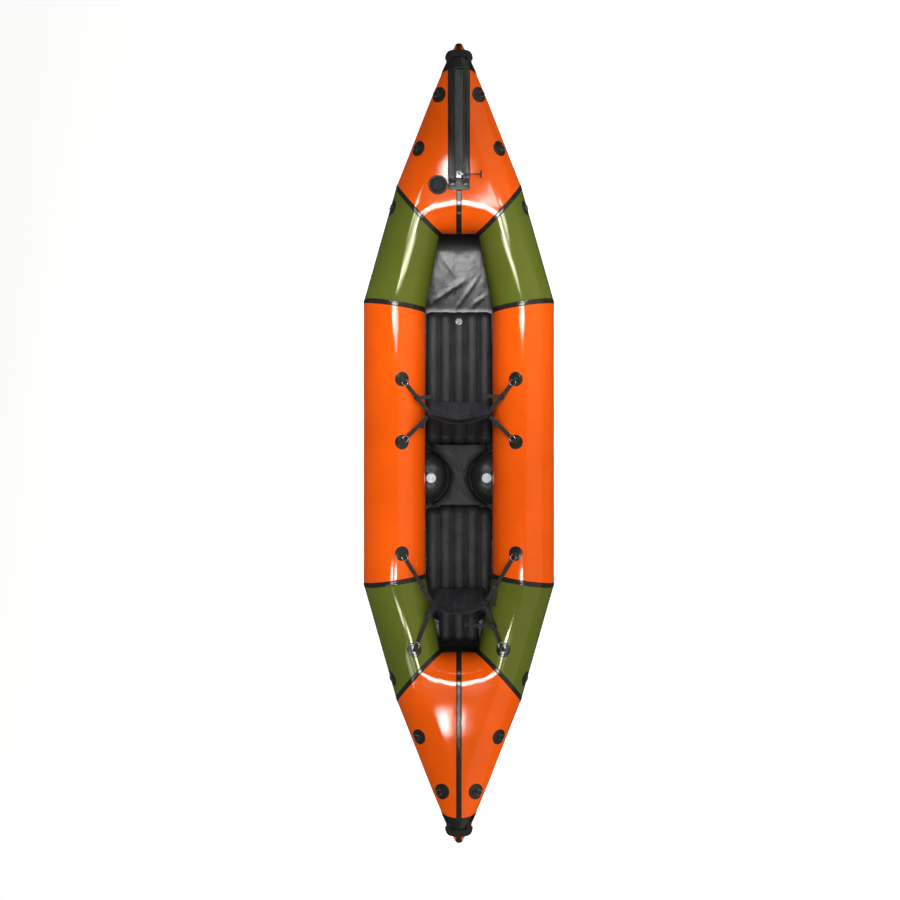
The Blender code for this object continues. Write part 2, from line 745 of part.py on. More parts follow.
def build_mats():
    """Front mat, rear mat, the smooth link between them and the mat's valve cap."""
    scallop = 0.012

    def front_edge(x, rise, channel):
        return FRONT_MAT[1] - scallop * (1 - rise)

    def front_back(x, rise, channel):
        return FRONT_MAT[0]

    def rear_edge(x, rise, channel):
        outer = channel in (0, MAT_CHANNELS - 1)
        inner_line = abs(x) < MAT_PITCH * (MAT_CHANNELS / 2 - 1) + 1e-6
        if outer and not inner_line:
            return BOLSTER_Y - BOLSTER_HALF - 0.006
        return REAR_MAT_FRONT

    def rear_back(x, rise, channel):
        outer = abs(x) > MAT_PITCH * (MAT_CHANNELS / 2 - 1) + 1e-6
        tail = REAR_MAT_SHOULDER if outer else REAR_MAT_BACK
        return tail + scallop * (1 - rise)

    add_piece("floor_mat_front", mat_shape(front_edge, front_back), MAT_GREY, 0.45)
    add_piece("floor_mat_rear", mat_shape(rear_edge, rear_back, bend=-SIDE_HALF), MAT_GREY, 0.45)

    front = FRONT_MAT[0] - 2 * GAP
    back = REAR_MAT_FRONT + 2 * GAP
    widest = MAT_PITCH * MAT_CHANNELS / 2 - 0.025
    rings = []
    spans = 12
    for i in range(spans + 1):
        y = front + (back - front) * i / spans
        half = min(widest, bolster_inner(y) - LINK_WAIST_GAP)
        ring = [Vector((half * 0.97, y, MAT_BOTTOM)), Vector((-half * 0.97, y, MAT_BOTTOM))]
        for share in (-1, -0.8, -0.35, 0, 0.35, 0.8, 1):
            crown = rounded(1 - abs(share), 0.6)
            ring.append(Vector((half * share, y, LINK_EDGE + (LINK_TOP - LINK_EDGE) * crown)))
        rings.append(ring)
    add_piece("floor_mat_link", loft(rings), MAT_GREY, 0.5)
    add_piece(
        "mat_valve_cap", knurled_cap(MAT_VALVE_RADIUS, 0.010, 16), VALVE_SILVER, 0.35,
        origin=(0, MAT_VALVE_Y, MAT_TOP + GAP),
    )


# Bolsters between the two seats
BOLSTER_Y = -0.1855
BOLSTER_HALF = 0.1595
BOLSTER_REACH = 0.063        # from the middle of the boat
BOLSTER_OUT = 0.250          # inner edge at the bolster's pointed ends
BOLSTER_HEIGHT = 0.118
TUBE_CLEAR = 0.0016


def lower_facets(clear):
    """Corners of a side tube's inner lower quarter as (x, z), from the bottom up."""
    corners = []
    for j in range(TUBE_SIDES // 4 * 3 - 1, TUBE_SIDES // 2 - 1, -1):
        angle = math.tau * j / TUBE_SIDES
        corners.append((
            TUBE_SPREAD + (TUBE_RADIUS + clear) * math.cos(angle),
            TUBE_Z + (TUBE_RADIUS + clear) * math.sin(angle),
        ))
    return corners


def beside_tube(z, clear):
    """How far out a side tube's inner face lies at height z, on its facets."""
    corners = lower_facets(clear)
    for (x0, z0), (x1, z1) in zip(corners, corners[1:]):
        if z <= z1:
            return x0 + (x1 - x0) * max(z - z0, 0) / (z1 - z0)
    return corners[-1][0]


def bolster_ring(y, side):
    """Its section at y: flat below, swelling inward, pressed against the tube outside."""
    inner = bolster_inner(y)
    swell = 1 - ((y - BOLSTER_Y) / BOLSTER_HALF) ** 2
    top = MAT_BOTTOM + 0.020 + (BOLSTER_HEIGHT - MAT_BOTTOM - 0.020) * math.sqrt(max(swell, 0))
    depth = top - MAT_BOTTOM
    room = max(beside_tube(top, TUBE_CLEAR) - inner, 0.004)
    section = [
        (inner + room * 0.25, MAT_BOTTOM), (inner + room * 0.06, MAT_BOTTOM + depth * 0.12),
        (inner, MAT_BOTTOM + depth * 0.38), (inner + room * 0.06, MAT_BOTTOM + depth * 0.66),
        (inner + room * 0.22, MAT_BOTTOM + depth * 0.88), (inner + room * 0.45, MAT_BOTTOM + depth * 0.98),
        (inner + room * 0.80, top),
    ]
    outside = lower_facets(TUBE_CLEAR)
    for i in range(len(outside) - 1, -1, -1):
        z = min(outside[i][1], top - GAP * (len(outside) - i))
        section.append((beside_tube(z, TUBE_CLEAR), z))
    section.append((outside[0][0] - GAP, MAT_BOTTOM))
    return [Vector((side * x, y, z)) for x, z in section]


def build_bolsters():
    """An inflated cushion at each side tube, with a white valve cap on its crown."""
    for side_name, side in SIDES:
        rings = []
        spans = 14
        for i in range(spans + 1):
            y = BOLSTER_Y + BOLSTER_HALF * 0.995 * math.sin(math.pi * (i / spans - 0.5))
            rings.append(bolster_ring(y, side))
        add_piece(f"bolster_{side_name}", loft(rings), BLACK, 0.25)
        add_piece(
            f"bolster_valve_cap_{side_name}", knurled_cap(BOLSTER_CAP, CAP_HEIGHT, 20), CAP_WHITE, 0.4,
            origin=(side * BOLSTER_CAP_X, BOLSTER_Y, BOLSTER_HEIGHT + GAP),
        )


# Backrests
BACK_THICK = 0.040
BACK_BEAD = 0.018            # half thickness of the bottom edge that it tilts on
BACK_LENGTH = 0.258
BACK_WING = 0.055            # how far the ends curve forward at the top
BACK_CHANNELS = 6
BACKRESTS = (                # name, hinge line y, recline in degrees, half width low down and at the top
    ("front", 0.200, 23.0, 0.162, 0.162),
    ("rear", -SIDE_HALF - 0.073, 19.0, 0.137, 0.148),
)
BACK_FLARE = (0.17, 0.23)    # heights between which the half width changes


def back_hinge(y):
    """The middle of a backrest's bottom edge, on the mat."""
    return Vector((0, y, MAT_TOP + sheet_lift(y) + GAP + BACK_BEAD))


def back_local(spec, u, depth, height):
    """A place on a backrest from its hinge line before it is reclined; u is -1 to 1 across."""
    low, high = spec[3:]
    flare = min(max((height - BACK_FLARE[0]) / (BACK_FLARE[1] - BACK_FLARE[0]), 0), 1)
    share = min(max(height / BACK_LENGTH, 0), 1)
    return Vector((u * (low + (high - low) * flare), depth + BACK_WING * share * u * u, height))


def backrest_rings(spec):
    """Closed outlines from the bottom bead up to the welded top edge."""
    across = 4 * BACK_CHANNELS
    rings = []
    levels = (
        (-BACK_BEAD, 0.12), (-0.0155, 0.46), (-0.011, 0.72), (-0.005, 0.87), (0.005, 0.93), (0.045, 1.0),
        (0.115, 1.0), (0.185, 0.97), (0.228, 0.70), (0.244, 0.30), (BACK_LENGTH, 0.06),
    )
    for height, swell in levels:
        front = []
        back = []
        for j in range(across + 1):
            u = 2 * j / across - 1
            edge = rounded(1 - abs(u), 0.16)
            rib = abs(math.sin(math.pi * BACK_CHANNELS * j / across))
            thick = BACK_THICK / 2 * swell * (0.12 + 0.88 * edge)
            front.append(back_local(spec, u, thick * (0.72 + 0.28 * rib), height))
            back.append(back_local(spec, u, -thick, height))
        rings.append(front + list(reversed(back)))
    return rings


def back_world(spec, local):
    """A place on a reclined backrest in the boat."""
    y, recline = spec[1:3]
    turn = Matrix.Rotation(math.radians(recline), 3, "X")
    return back_hinge(y) + turn @ local


def build_backrests():
    """Two inflated backrests that tilt on their bottom edge."""
    for spec in BACKRESTS:
        name, y, recline = spec[:3]
        rings = backrest_rings(spec)
        count = len(rings[0])
        half = count // 2
        points, faces = loft(rings, closed=False)
        for first in (0, (len(rings) - 1) * count):
            for j in range(half - 1):
                low = count - 1 - j
                faces.append((first + j, first + j + 1, first + low - 1, first + low))
        add_piece(
            f"backrest_{name}", (points, faces), BLACK, 0.35,
            origin=back_hinge(y), turn=Matrix.Rotation(math.radians(recline), 3, "X"),
        )


# Strap anchors, straps and tie-down rings
ANCHOR_RADIUS = 0.0375
ANCHOR_THICK = 0.0022
RING_WIRE = 0.0025           # radius of the rings' wire
RING_HALF = 0.014            # half the width inside a ring, at the wire's middle
RING_BAR = 0.012             # from a ring's bar to the start of its round end
STRAP_WIDTH = 0.022
STRAP_GAP = 0.001
ANCHOR_X = TUBE_SPREAD - 0.045  # of the anchors on the side tubes
STRAPS = (
    ("front_fore", 0, 0.329, ANCHOR_X), ("front_aft", 0, 0.005, ANCHOR_X),
    ("rear_fore", 1, 0.152 - SIDE_HALF, ANCHOR_X), ("rear_aft", 1, -SIDE_HALF - 0.341, ANCHOR_X - 0.062),
)
STRAP_HEIGHT = 0.222         # on the backrest, from its hinge line
STRAP_SHARE = 0.91           # of the backrest's half width


def ring_path():
    """A D-ring in the plane z = 0: bar along Y at x = 0, round end toward +X."""
    path = [Vector((0, y, 0)) for y in (-RING_HALF, 0, RING_HALF)]
    path.append(Vector((RING_BAR, RING_HALF, 0)))
    for i in range(1, 8):
        angle = math.pi * i / 8
        path.append(Vector((RING_BAR + RING_HALF * math.sin(angle), RING_HALF * math.cos(angle), 0)))
    path.append(Vector((RING_BAR, -RING_HALF, 0)))
    return list(reversed(path))


RING_REACH = RING_BAR + RING_HALF + RING_WIRE


def tube_top(side, x, y):
    """Top of the tube at a plan place beside the cockpit, and the outward direction."""
    if abs(y) < SIDE_HALF:
        lean = (x - TUBE_SPREAD) / TUBE_RADIUS
        up = math.sqrt(1 - lean * lean)
        point = Vector((side * x, y, TUBE_Z + TUBE_RADIUS * up))
        return point, Vector((side * lean, 0, up))
    end = 1 if y > 0 else -1
    low, high = 0.0, 1.0
    angle = math.radians(90)
    for _ in range(40):
        share = (low + high) / 2
        centre = TUBE_SPREAD - CORNER_TURN * share
        lean = min(max((x - centre) / TUBE_RADIUS, -1), 1)
        angle = math.acos(lean)
        point, normal = corner_point(end, angle, share)
        if abs(point.y) < abs(y):
            low = share
        else:
            high = share
    return Vector((side * point.x, point.y, point.z)), Vector((side * normal.x, normal.y, normal.z))


def draped_disc(frame, surface, radius, lift, thickness):
    """A round patch on a curved surface; surface gives the depth below the frame's plane."""
    rings = 3
    sides = 20
    shape = {}
    for level in (lift, lift + thickness):
        points = [frame @ Vector((0, 0, surface(0, 0) + level))]
        for i in range(1, rings + 1):
            for j in range(sides):
                angle = math.tau * j / sides
                u = radius * i / rings * math.cos(angle)
                v = radius * i / rings * math.sin(angle)
                points.append(frame @ Vector((u, v, surface(u, v) + level)))
        shape[level] = points
    lower, upper = shape[lift], shape[lift + thickness]
    points = lower + upper
    faces = []
    for start in (0, len(lower)):
        for j in range(sides):
            k = (j + 1) % sides
            faces.append((start, start + 1 + j, start + 1 + k))
            for i in range(rings - 1):
                a = start + 1 + i * sides
                faces.append((a + j, a + k, a + sides + k, a + sides + j))
    rim = 1 + (rings - 1) * sides
    for j in range(sides):
        k = (j + 1) % sides
        faces.append((rim + j, rim + k, rim + k + len(lower), rim + j + len(lower)))
    return points, faces


def add_cutter(name, shape):
    """A hidden helper body for a Boolean."""
    helper = add_piece(name, shape, BLACK, 0.5)
    helper.hide_render = True
    helper.display_type = "WIRE"
    return helper


def join_into(target, helpers):
    """Fuse helper bodies into the target and drop the helpers."""
    for helper in helpers:
        union = target.modifiers.new(helper.name, "BOOLEAN")
        union.operation = "UNION"
        union.object = helper
    bpy.context.view_layer.update()
    seen = target.evaluated_get(bpy.context.evaluated_depsgraph_get())
    fused = bpy.data.meshes.new_from_object(seen)
    target.modifiers.clear()
    target.data = fused
    for helper in helpers:
        bpy.data.objects.remove(helper, do_unlink=True)


def build_anchor(name, side, x, y, toward):
    """A welded disc with a webbing tab and a ring that the strap pulls toward the seat."""
    point, normal = tube_top(side, x, y)
    frame = frame_at(point, normal, toward - point)
    tube_axis = Vector((0, 1, 0))
    across = (frame.inverted().to_3x3() @ tube_axis).normalized()

    def surface(u, v):
        off = Vector((u, v)) - Vector((across.x, across.y)) * (u * across.x + v * across.y)
        return math.sqrt(TUBE_RADIUS ** 2 - off.length_squared) - TUBE_RADIUS

    disc = draped_disc(frame, surface, ANCHOR_RADIUS, SKIN_LIFT, ANCHOR_THICK)
    shift = seating(disc[0][:len(disc[0]) // 2], normal, 2 * GAP)
    frame = frame_at(point + normal * shift, normal, toward - point)
    disc = draped_disc(frame, surface, ANCHOR_RADIUS, SKIN_LIFT, ANCHOR_THICK)
    piece = add_piece(name, disc, BLACK, 0.4)
    ring_lift = SKIN_LIFT + ANCHOR_THICK + RING_WIRE + 0.001
    points, faces = closed_wire(ring_path(), RING_WIRE)
    start = ANCHOR_RADIUS - RING_REACH + 0.004
    ring = add_cutter("ring", ([frame @ (p + Vector((start, 0, ring_lift))) for p in points], faces))
    half = Vector((0.011, 0.0095))
    low = SKIN_LIFT + 0.001
    high = ring_lift + RING_WIRE + 0.001
    corners = [(-half.x, -half.y), (half.x * 0.6, -half.y), (half.x * 0.6, half.y), (-half.x, half.y)]
    tab_rings = [[frame @ Vector((start + a, b, z)) for a, b in corners] for z in (low, high)]
    tab = add_cutter("tab", loft(tab_rings))
    join_into(piece, [ring, tab])
    return frame @ Vector((start + RING_REACH + STRAP_GAP, 0, ring_lift))


def build_straps():
    """Four webbing straps hold each backrest, each from an anchor's ring."""
    for side_name, side in SIDES:
        for name, which, y, x in STRAPS:
            spec = BACKRESTS[which]
            fore = name.endswith("fore")
            local = back_local(spec, side * STRAP_SHARE, 0, STRAP_HEIGHT)
            corner = back_world(spec, local)
            ring_end = build_anchor(f"strap_anchor_{name}_{side_name}", side, x, y, corner)
            away = (ring_end - corner).normalized()
            clear = BACK_THICK * 0.5 + 0.004
            start = corner + away * clear
            end = ring_end
            flat = away.cross(Vector((0, 0, 1))).normalized() * STRAP_WIDTH / 2
            thick = flat.cross(away).normalized() * WEBBING / 2
            if not fore:
                start = start + Vector((0, 0, 0.002))
            rings = []
            for share in (0, 0.5, 1):
                middle = start.lerp(end, share)
                low = [middle - flat - thick, middle + flat - thick]
                rings.append(low + [middle + flat + thick, middle - flat + thick])
            add_piece(f"backrest_strap_{name}_{side_name}", loft(rings), BLACK, 0.6)


# Tie-down rings: plan places on the cones, and a share and angle on the corner tubes
BOW_RINGS = ((0.108, TIP_Y - 0.253), (0.213, WALL_Y + 0.419))
STERN_RINGS = ((0.092, 0.255 - TIP_Y), (0.210, -WALL_Y - 0.414))
CORNER_RING_ANGLE = math.radians(20)
CORNER_RING_SHARE = 0.83


def add_tie_ring(name, point, normal, edge, outward):
    """A free D-ring lying on the tube, its bar along the hull's edge."""
    hang = edge.cross(normal).normalized()
    if hang.dot(outward) < 0:
        hang = -hang
    shape = closed_wire(ring_path(), RING_WIRE)
    place = frame_at(point + normal * RING_WIRE, normal, hang)
    shift = seating([place @ p for p in shape[0]], normal, 2 * GAP)
    place = frame_at(point + normal * (RING_WIRE + shift), normal, hang)
    add_piece(name, shape, BLACK, 0.25, origin=place.translation, turn=place.to_3x3())


def build_tie_rings():
    """Six D-rings on each end of the boat."""
    for side_name, side in SIDES:
        for end_name, end, places in (("bow", 1, BOW_RINGS), ("stern", -1, STERN_RINGS)):
            for name, (x, y) in zip(("outer", "middle"), places):
                edge = Vector((-side * OUTLINE_SLOPE, end, 0)).normalized()
                add_tie_ring(
                    f"tie_ring_{end_name}_{name}_{side_name}", deck(side * x, y), deck_normal(side * x, y),
                    edge, Vector((side, 0, -0.3)),
                )
            point, normal = corner_point(end, CORNER_RING_ANGLE, CORNER_RING_SHARE)
            point = Vector((side * point.x, point.y, point.z))
            normal = Vector((side * normal.x, normal.y, normal.z))
            edge = Vector((-side * CORNER_TURN, end * CORNER_LENGTH, CORNER_RISE)).normalized()
            add_tie_ring(
                f"tie_ring_{end_name}_corner_{side_name}", point, normal, edge, Vector((side * 0.3, 0, -1)),
            )


build_hull()
build_floor_sheet()
build_centre_tapes()
build_end_patches()
build_grab_handles()
build_zip()
build_main_valve()
build_mats()
build_bolsters()
build_backrests()
build_straps()
build_tie_rings()
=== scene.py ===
"""A two-person packraft seen from above: hull, floor, mats, seats, cargo zip, valves and tie-downs."""
import json
import math

import bmesh
import bpy
import numpy as np
from mathutils import Matrix, Vector

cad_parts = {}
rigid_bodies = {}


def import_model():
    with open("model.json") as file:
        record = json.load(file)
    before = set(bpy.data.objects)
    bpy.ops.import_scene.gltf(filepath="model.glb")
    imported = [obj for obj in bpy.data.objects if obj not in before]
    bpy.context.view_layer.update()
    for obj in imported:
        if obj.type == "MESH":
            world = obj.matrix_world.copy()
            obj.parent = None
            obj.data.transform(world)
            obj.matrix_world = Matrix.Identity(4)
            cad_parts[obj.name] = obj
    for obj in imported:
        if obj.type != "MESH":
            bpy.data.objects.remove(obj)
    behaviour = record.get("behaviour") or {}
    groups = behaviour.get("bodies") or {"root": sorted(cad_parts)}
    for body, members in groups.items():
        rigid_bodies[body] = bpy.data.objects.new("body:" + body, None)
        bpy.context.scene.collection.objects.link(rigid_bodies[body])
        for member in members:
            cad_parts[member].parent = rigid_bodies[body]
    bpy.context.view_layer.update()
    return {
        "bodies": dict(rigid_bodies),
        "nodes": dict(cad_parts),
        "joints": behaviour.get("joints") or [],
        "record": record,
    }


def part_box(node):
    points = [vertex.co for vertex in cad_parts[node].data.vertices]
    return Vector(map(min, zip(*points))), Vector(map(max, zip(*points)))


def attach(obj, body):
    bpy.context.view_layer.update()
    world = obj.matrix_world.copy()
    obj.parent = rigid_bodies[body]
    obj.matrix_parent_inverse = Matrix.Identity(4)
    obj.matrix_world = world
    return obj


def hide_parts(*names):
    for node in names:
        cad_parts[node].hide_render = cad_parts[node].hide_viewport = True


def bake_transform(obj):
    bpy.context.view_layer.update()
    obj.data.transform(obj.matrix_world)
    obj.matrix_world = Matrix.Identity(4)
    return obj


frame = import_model()
JOINTS = {joint["name"]: joint for joint in frame["record"]["behaviour"]["joints"]}

# Studio: the raft lies on pale paper and is photographed from straight above. Strips, boxes and
# spots of narrow spread each light one stretch of its glossy tubes, a warm wall stands on the
# right, and two fills over the ends, hidden from reflections, give them plain light.
scene = bpy.context.scene
scene.view_settings.view_transform = "Standard"
camera = bpy.data.objects.new("camera", bpy.data.cameras.new("camera"))
camera.location = (0, 0, 6.5)
camera.data.lens = 48.16
camera.data.shift_x = -0.0099
camera.data.shift_y = -0.0077
scene.collection.objects.link(camera)
scene.camera = camera

sky = bpy.data.worlds.new("studio")
sky.use_nodes = True
background = sky.node_tree.nodes["Background"].inputs
background["Color"].default_value = (0.93, 0.96, 1.0, 1)
background["Strength"].default_value = 0.06
scene.world = sky

LAMPS = (  # name, centre, what it faces, roll in degrees, width, length, radiance, spread in degrees
    ("strip_bow_left_low", (-0.540, 1.24, 3.0), (-0.84, 0.70, 0), 48, 0.50, 0.88, 1.5, 44),
    ("strip_bow_left_high", (-1.045, 1.62, 3.0), (-0.88, 0.58, 0), 48, 0.50, 0.32, 3.0, 44),
    ("strip_bow_right_low", (0.213, 1.262, 3.0), (0.84, 0.81, 0), -55, 0.56, 0.79, 1.5, 44),
    ("strip_bow_right_high", (0.867, 1.552, 3.0), (0.74, 0.59, 0), -62, 0.36, 0.60, 2.6, 44),
    ("strip_stern_left_near", (-0.28, -1.22, 3.0), (-0.94, -0.28, 0), -63, 0.38, 0.75, 0.8, 44),
    ("strip_stern_left_middle", (-0.985, -1.545, 3.0), (-0.82, -0.43, 0), -63, 0.38, 0.75, 0.8, 44),
    ("strip_stern_left_far", (-1.69, -1.87, 3.0), (-0.70, -0.54, 0), -63, 0.38, 0.75, 0.8, 44),
    ("strip_stern_right", (0.62, -1.30, 3.0), (0.82, -0.84, 0), 37, 0.22, 0.50, 0.35, 44),
    ("spot_stern_left", (-0.70, -1.00, 3.0), (-0.86, -0.70, 0), 0, 0.50, 0.16, 1.9, 44),
    ("spot_stern_right", (-0.06, -1.00, 3.0), (0.88, -0.70, 0), 0, 0.52, 0.16, 1.9, 44),
    ("box_bow", (-0.02, 1.22, 3.0), (-0.02, 0.72, 0), 0, 0.32, 0.46, 4.2, 75),
    ("box_bow_foot", (-0.02, 0.94, 3.0), (-0.02, 0.60, 0), 0, 1.04, 0.12, 3.0, 75),
    ("box_bow_toe", (0.02, 0.84, 3.0), (0.02, 0.50, 0), 0, 0.76, 0.08, 3.0, 75),
    ("box_bow_tip", (0.06, 0.77, 3.0), (0.06, 0.43, 0), 0, 0.45, 0.06, 2.4, 75),
    ("box_stern", (-0.02, -1.18, 3.0), (-0.02, -0.70, 0), 0, 0.34, 0.52, 4.2, 75),
    ("blob_bow", (-0.030, 1.70, 3.0), (-0.03, 1.4, 0.3), 0, 0.08, 0.15, 7.0, 90),
    ("blob_stern", (-0.062, -1.745, 3.0), (-0.05, -1.4, 0.3), 0, 0.07, 0.14, 10.0, 90),
    ("right_wall", (3.4, 0.0, 3.9), (0, 0, 0.3), 0, 6.0, 8.0, 0.46, 180),
    ("fill_bow", (1.0, 2.8, 4.2), (0.9, 2.8, 0), 0, 3.6, 3.0, 1.18, 120),
    ("fill_stern", (1.0, -3.0, 4.2), (0.9, -3.0, 0), 0, 3.6, 3.0, 2.05, 120),
)
for name, centre, aim, roll, width, length, radiance, spread in LAMPS:
    lamp = bpy.data.lights.new(name, "AREA")
    lamp.shape = "RECTANGLE"
    lamp.size = width
    lamp.size_y = length
    lamp.energy = radiance * math.pi * width * length
    lamp.spread = math.radians(spread)
    lamp.color = (1.0, 0.88, 0.66) if name == "right_wall" else (1.0, 1.0, 1.0)
    holder = bpy.data.objects.new(name, lamp)
    holder.location = centre
    up = (Vector(centre) - Vector(aim)).normalized()
    side = Vector((0, 1, 0)).cross(up).normalized()
    straight = Matrix((side, up.cross(side), up)).transposed()
    holder.rotation_euler = (straight @ Matrix.Rotation(math.radians(roll), 3, "Z")).to_euler()
    holder.visible_camera = False
    holder.visible_glossy = not name.startswith("fill")
    scene.collection.objects.link(holder)


class Wire:
    """A node's output that takes arithmetic: an expression on values adds its Math nodes."""

    def __init__(self, finish, socket):
        self.finish = finish
        self.socket = socket

    def maths(self, operation, *values):
        """The Math node of an operation on these values."""
        return self.finish.node("Math", {"operation": operation}, dict(enumerate(values)))

    def __add__(self, other):
        return self.maths("ADD", self, other)

    def __sub__(self, other):
        return self.maths("SUBTRACT", self, other)

    def __rsub__(self, other):
        return self.maths("SUBTRACT", other, self)

    def __mul__(self, other):
        return self.maths("MULTIPLY", self, other)

    __radd__ = __add__
    __rmul__ = __mul__

    def sine(self):
        """The sine of a value in radians."""
        return self.maths("SINE", self)

    def absolute(self):
        """The value without its sign."""
        return self.maths("ABSOLUTE", self)

    def between(self, low, high):
        """0 where the value is low or less, 1 where it is high or more, smooth in between."""
        edges = {"Value": self, "From Min": low, "From Max": high}
        return self.finish.node("MapRange", {"interpolation_type": "SMOOTHSTEP"}, edges)

    def blend(self, first, second):
        """The first colour where the value is 0, the second where it is 1."""
        return self.finish.node("Mix", {"data_type": "RGBA"}, {0: self, 6: first, 7: second}, out=2)


def tone(red, green, blue):
    """A colour read off a screen, as linear light."""
    shares = [value / 255 for value in (red, green, blue)]
    return (*[s / 12.92 if s <= 0.04045 else ((s + 0.055) / 1.055) ** 2.4 for s in shares], 1)


def shade(colour, factor):
    """The colour made lighter or darker."""
    return (*[min(channel * factor, 1) for channel in colour[:3]], 1)


class Finish:
    """A material under construction, with one Principled shader."""

    def __init__(self, name, **constants):
        self.material = bpy.data.materials.new(name)
        self.material.use_nodes = True
        self.tree = self.material.node_tree
        self.shader = self.tree.nodes["Principled BSDF"]
        for key, value in constants.items():
            self.shader.inputs[key.replace("_", " ").title().replace("Ior", "IOR")].default_value = value

    def node(self, kind, settings=None, inputs=None, out=0):
        """Add any node: its settings first, then the values or wires of its sockets."""
        made = self.tree.nodes.new("ShaderNode" + kind)
        for key, value in (settings or {}).items():
            setattr(made, key, value)
        for key, value in (inputs or {}).items():
            if isinstance(value, Wire):
                self.tree.links.new(value.socket, made.inputs[key])
            else:
                made.inputs[key].default_value = value
        return Wire(self, made.outputs[out])

    def where(self, kind="Object"):
        """The place on the piece, in metres, or its UV."""
        return self.node("TexCoord", out={"Object": 3, "UV": 2}[kind])

    def part(self, index, kind="Object"):
        """One coordinate of the place: 0 across, 1 along."""
        return self.node("SeparateXYZ", {}, {0: self.where(kind)}, out=index)

    def noise(self, size, detail=2.0, stretch=(1, 1, 1)):
        """Cloudy noise from 0 to 1 with blobs about that many metres across."""
        scale = tuple(share / size for share in stretch)
        place = self.node("Mapping", {}, {"Vector": self.where(), "Scale": scale})
        return self.node("TexNoise", {}, {"Vector": place, "Scale": 1.0, "Detail": detail, "Roughness": 0.55})

    def threads(self, pitch):
        """A plain weave from 0 to 1: two sets of threads, each over where the other is under."""
        warp, weft = ((self.part(k, "UV") * (math.tau / pitch)).sine() for k in (0, 1))
        return warp * weft * 0.5 + 0.5

    def paint(self, colour, roughness=None):
        """Link what varies to the shader."""
        self.tree.links.new(colour.socket, self.shader.inputs["Base Color"])
        if roughness is not None:
            self.tree.links.new(roughness.socket, self.shader.inputs["Roughness"])

    def relief(self, *layers):
        """Bump from (height wire, depth in metres) layers, one Bump node after another."""
        normal = None
        for height, depth in layers:
            inputs = {"Height": height, "Distance": depth, "Strength": 1.0}
            if normal is not None:
                inputs["Normal"] = normal
            normal = self.node("Bump", {}, inputs)
        self.tree.links.new(normal.socket, self.shader.inputs["Normal"])
        return self


FLOOR_HALF = 20
FLOOR_DROP = 0.0005
floor_paper = Finish("pale_paper", roughness=0.9, emission_color=(1, 1, 1, 1), emission_strength=0.80)
floor_paper.paint(floor_paper.noise(0.9).blend((0.60, 0.60, 0.60, 1), (0.64, 0.64, 0.64, 1)))
corners = [(x * FLOOR_HALF, y * FLOOR_HALF, -FLOOR_DROP) for x, y in ((-1, -1), (1, -1), (1, 1), (-1, 1))]
floor = bpy.data.meshes.new("studio_floor")
floor.from_pydata(corners, [], [(0, 1, 2, 3)])
floor.materials.append(floor_paper.material)
floor = bpy.data.objects.new("studio_floor", floor)
floor.visible_glossy = False
scene.collection.objects.link(floor)

# Hull: two straight orange side tubes, four bent green corner tubes and an orange cone at
# each end, of nylon coated with clear glossy plastic, welded end to end and blown up hard.
# Small puckers stand in the cloth beside each weld, deepest on the inside of the bend.
TUBE_RADIUS = 0.162
TUBE_SPREAD = 0.338
SIDE_HALF = 0.719
SIDE_SLANT = 0.024
CORNER_TURN = 0.126
CORNER_LENGTH = 0.498
END_RADIUS = 0.150
END_SEAM_IN = 0.114
END_SEAM_ALONG = 0.124
SEAM_LEAN = 0.038
TUBE_Z = 0.1638
END_X = TUBE_SPREAD - CORNER_TURN
END_Y = SIDE_HALF + CORNER_LENGTH
END_Z = 0.203
WALL_Y = END_Y - END_SEAM_ALONG
WALL_HALF = END_X - END_SEAM_IN
OUT_X = END_X + END_SEAM_IN
OUT_Y = END_Y + END_SEAM_ALONG
TIP_Y = 2.032
TIP_HALF_WIDTH = 0.015
TIP_HALF_HEIGHT = 0.020
TIP_LIFT = 0.042
NOSE_LENGTH = 0.010
NOSE_ROUND = 0.016
EDGE_ROUND = 0.155
RIDGE_Y = WALL_Y + END_RADIUS
OUTLINE_BOW = 0.009
OUTLINE_COS = 1 / math.hypot(1, (OUT_X - TIP_HALF_WIDTH) / (TIP_Y - OUT_Y))
ORANGE = tone(240, 91, 8)
GREEN = tone(91, 101, 34)
SIDES = (("left", -1), ("right", 1))
ENDS = (("bow", 1), ("stern", -1))


def beside(*parts):
    """Coordinates side by side as points, each part stretched to the shape of all."""
    return np.stack(np.broadcast_arrays(*parts), -1)


def side_seam(turn, end):
    """The seam between a side tube and a corner tube, by the angle round the tube.

    x = spread + radius cos, z = centre + radius sin, and y leans outward with cos.
    """
    return beside(
        TUBE_SPREAD + TUBE_RADIUS * np.cos(turn),
        end * (SIDE_HALF + SIDE_SLANT * np.cos(turn)),
        TUBE_Z + TUBE_RADIUS * np.sin(turn),
    )


def end_seam(turn, end):
    """The leaning seam between a corner tube and an end cone: an ellipse across and along."""
    return beside(
        END_X + END_SEAM_IN * np.cos(turn),
        end * (END_Y + END_SEAM_ALONG * np.cos(turn) - SEAM_LEAN * np.sin(turn)),
        END_Z + END_RADIUS * np.sin(turn),
    )


def side_tube(turn, share):
    """A straight line from the stern seam (share 0) to the bow seam (share 1) at each angle."""
    return side_seam(turn, -1) + (side_seam(turn, 1) - side_seam(turn, -1)) * share[..., None]


def corner_tube(turn, share, end):
    """A straight line from the side seam (share 0) to the end seam (share 1) at each angle."""
    return side_seam(turn, end) + (end_seam(turn, end) - side_seam(turn, end)) * share[..., None]


def rounded(distance, reach):
    """Height of a quarter ellipse: 0 at its edge, 1 from reach inward."""
    u = np.clip(distance / reach, 0, 1)
    return np.sqrt(u * (2 - u))


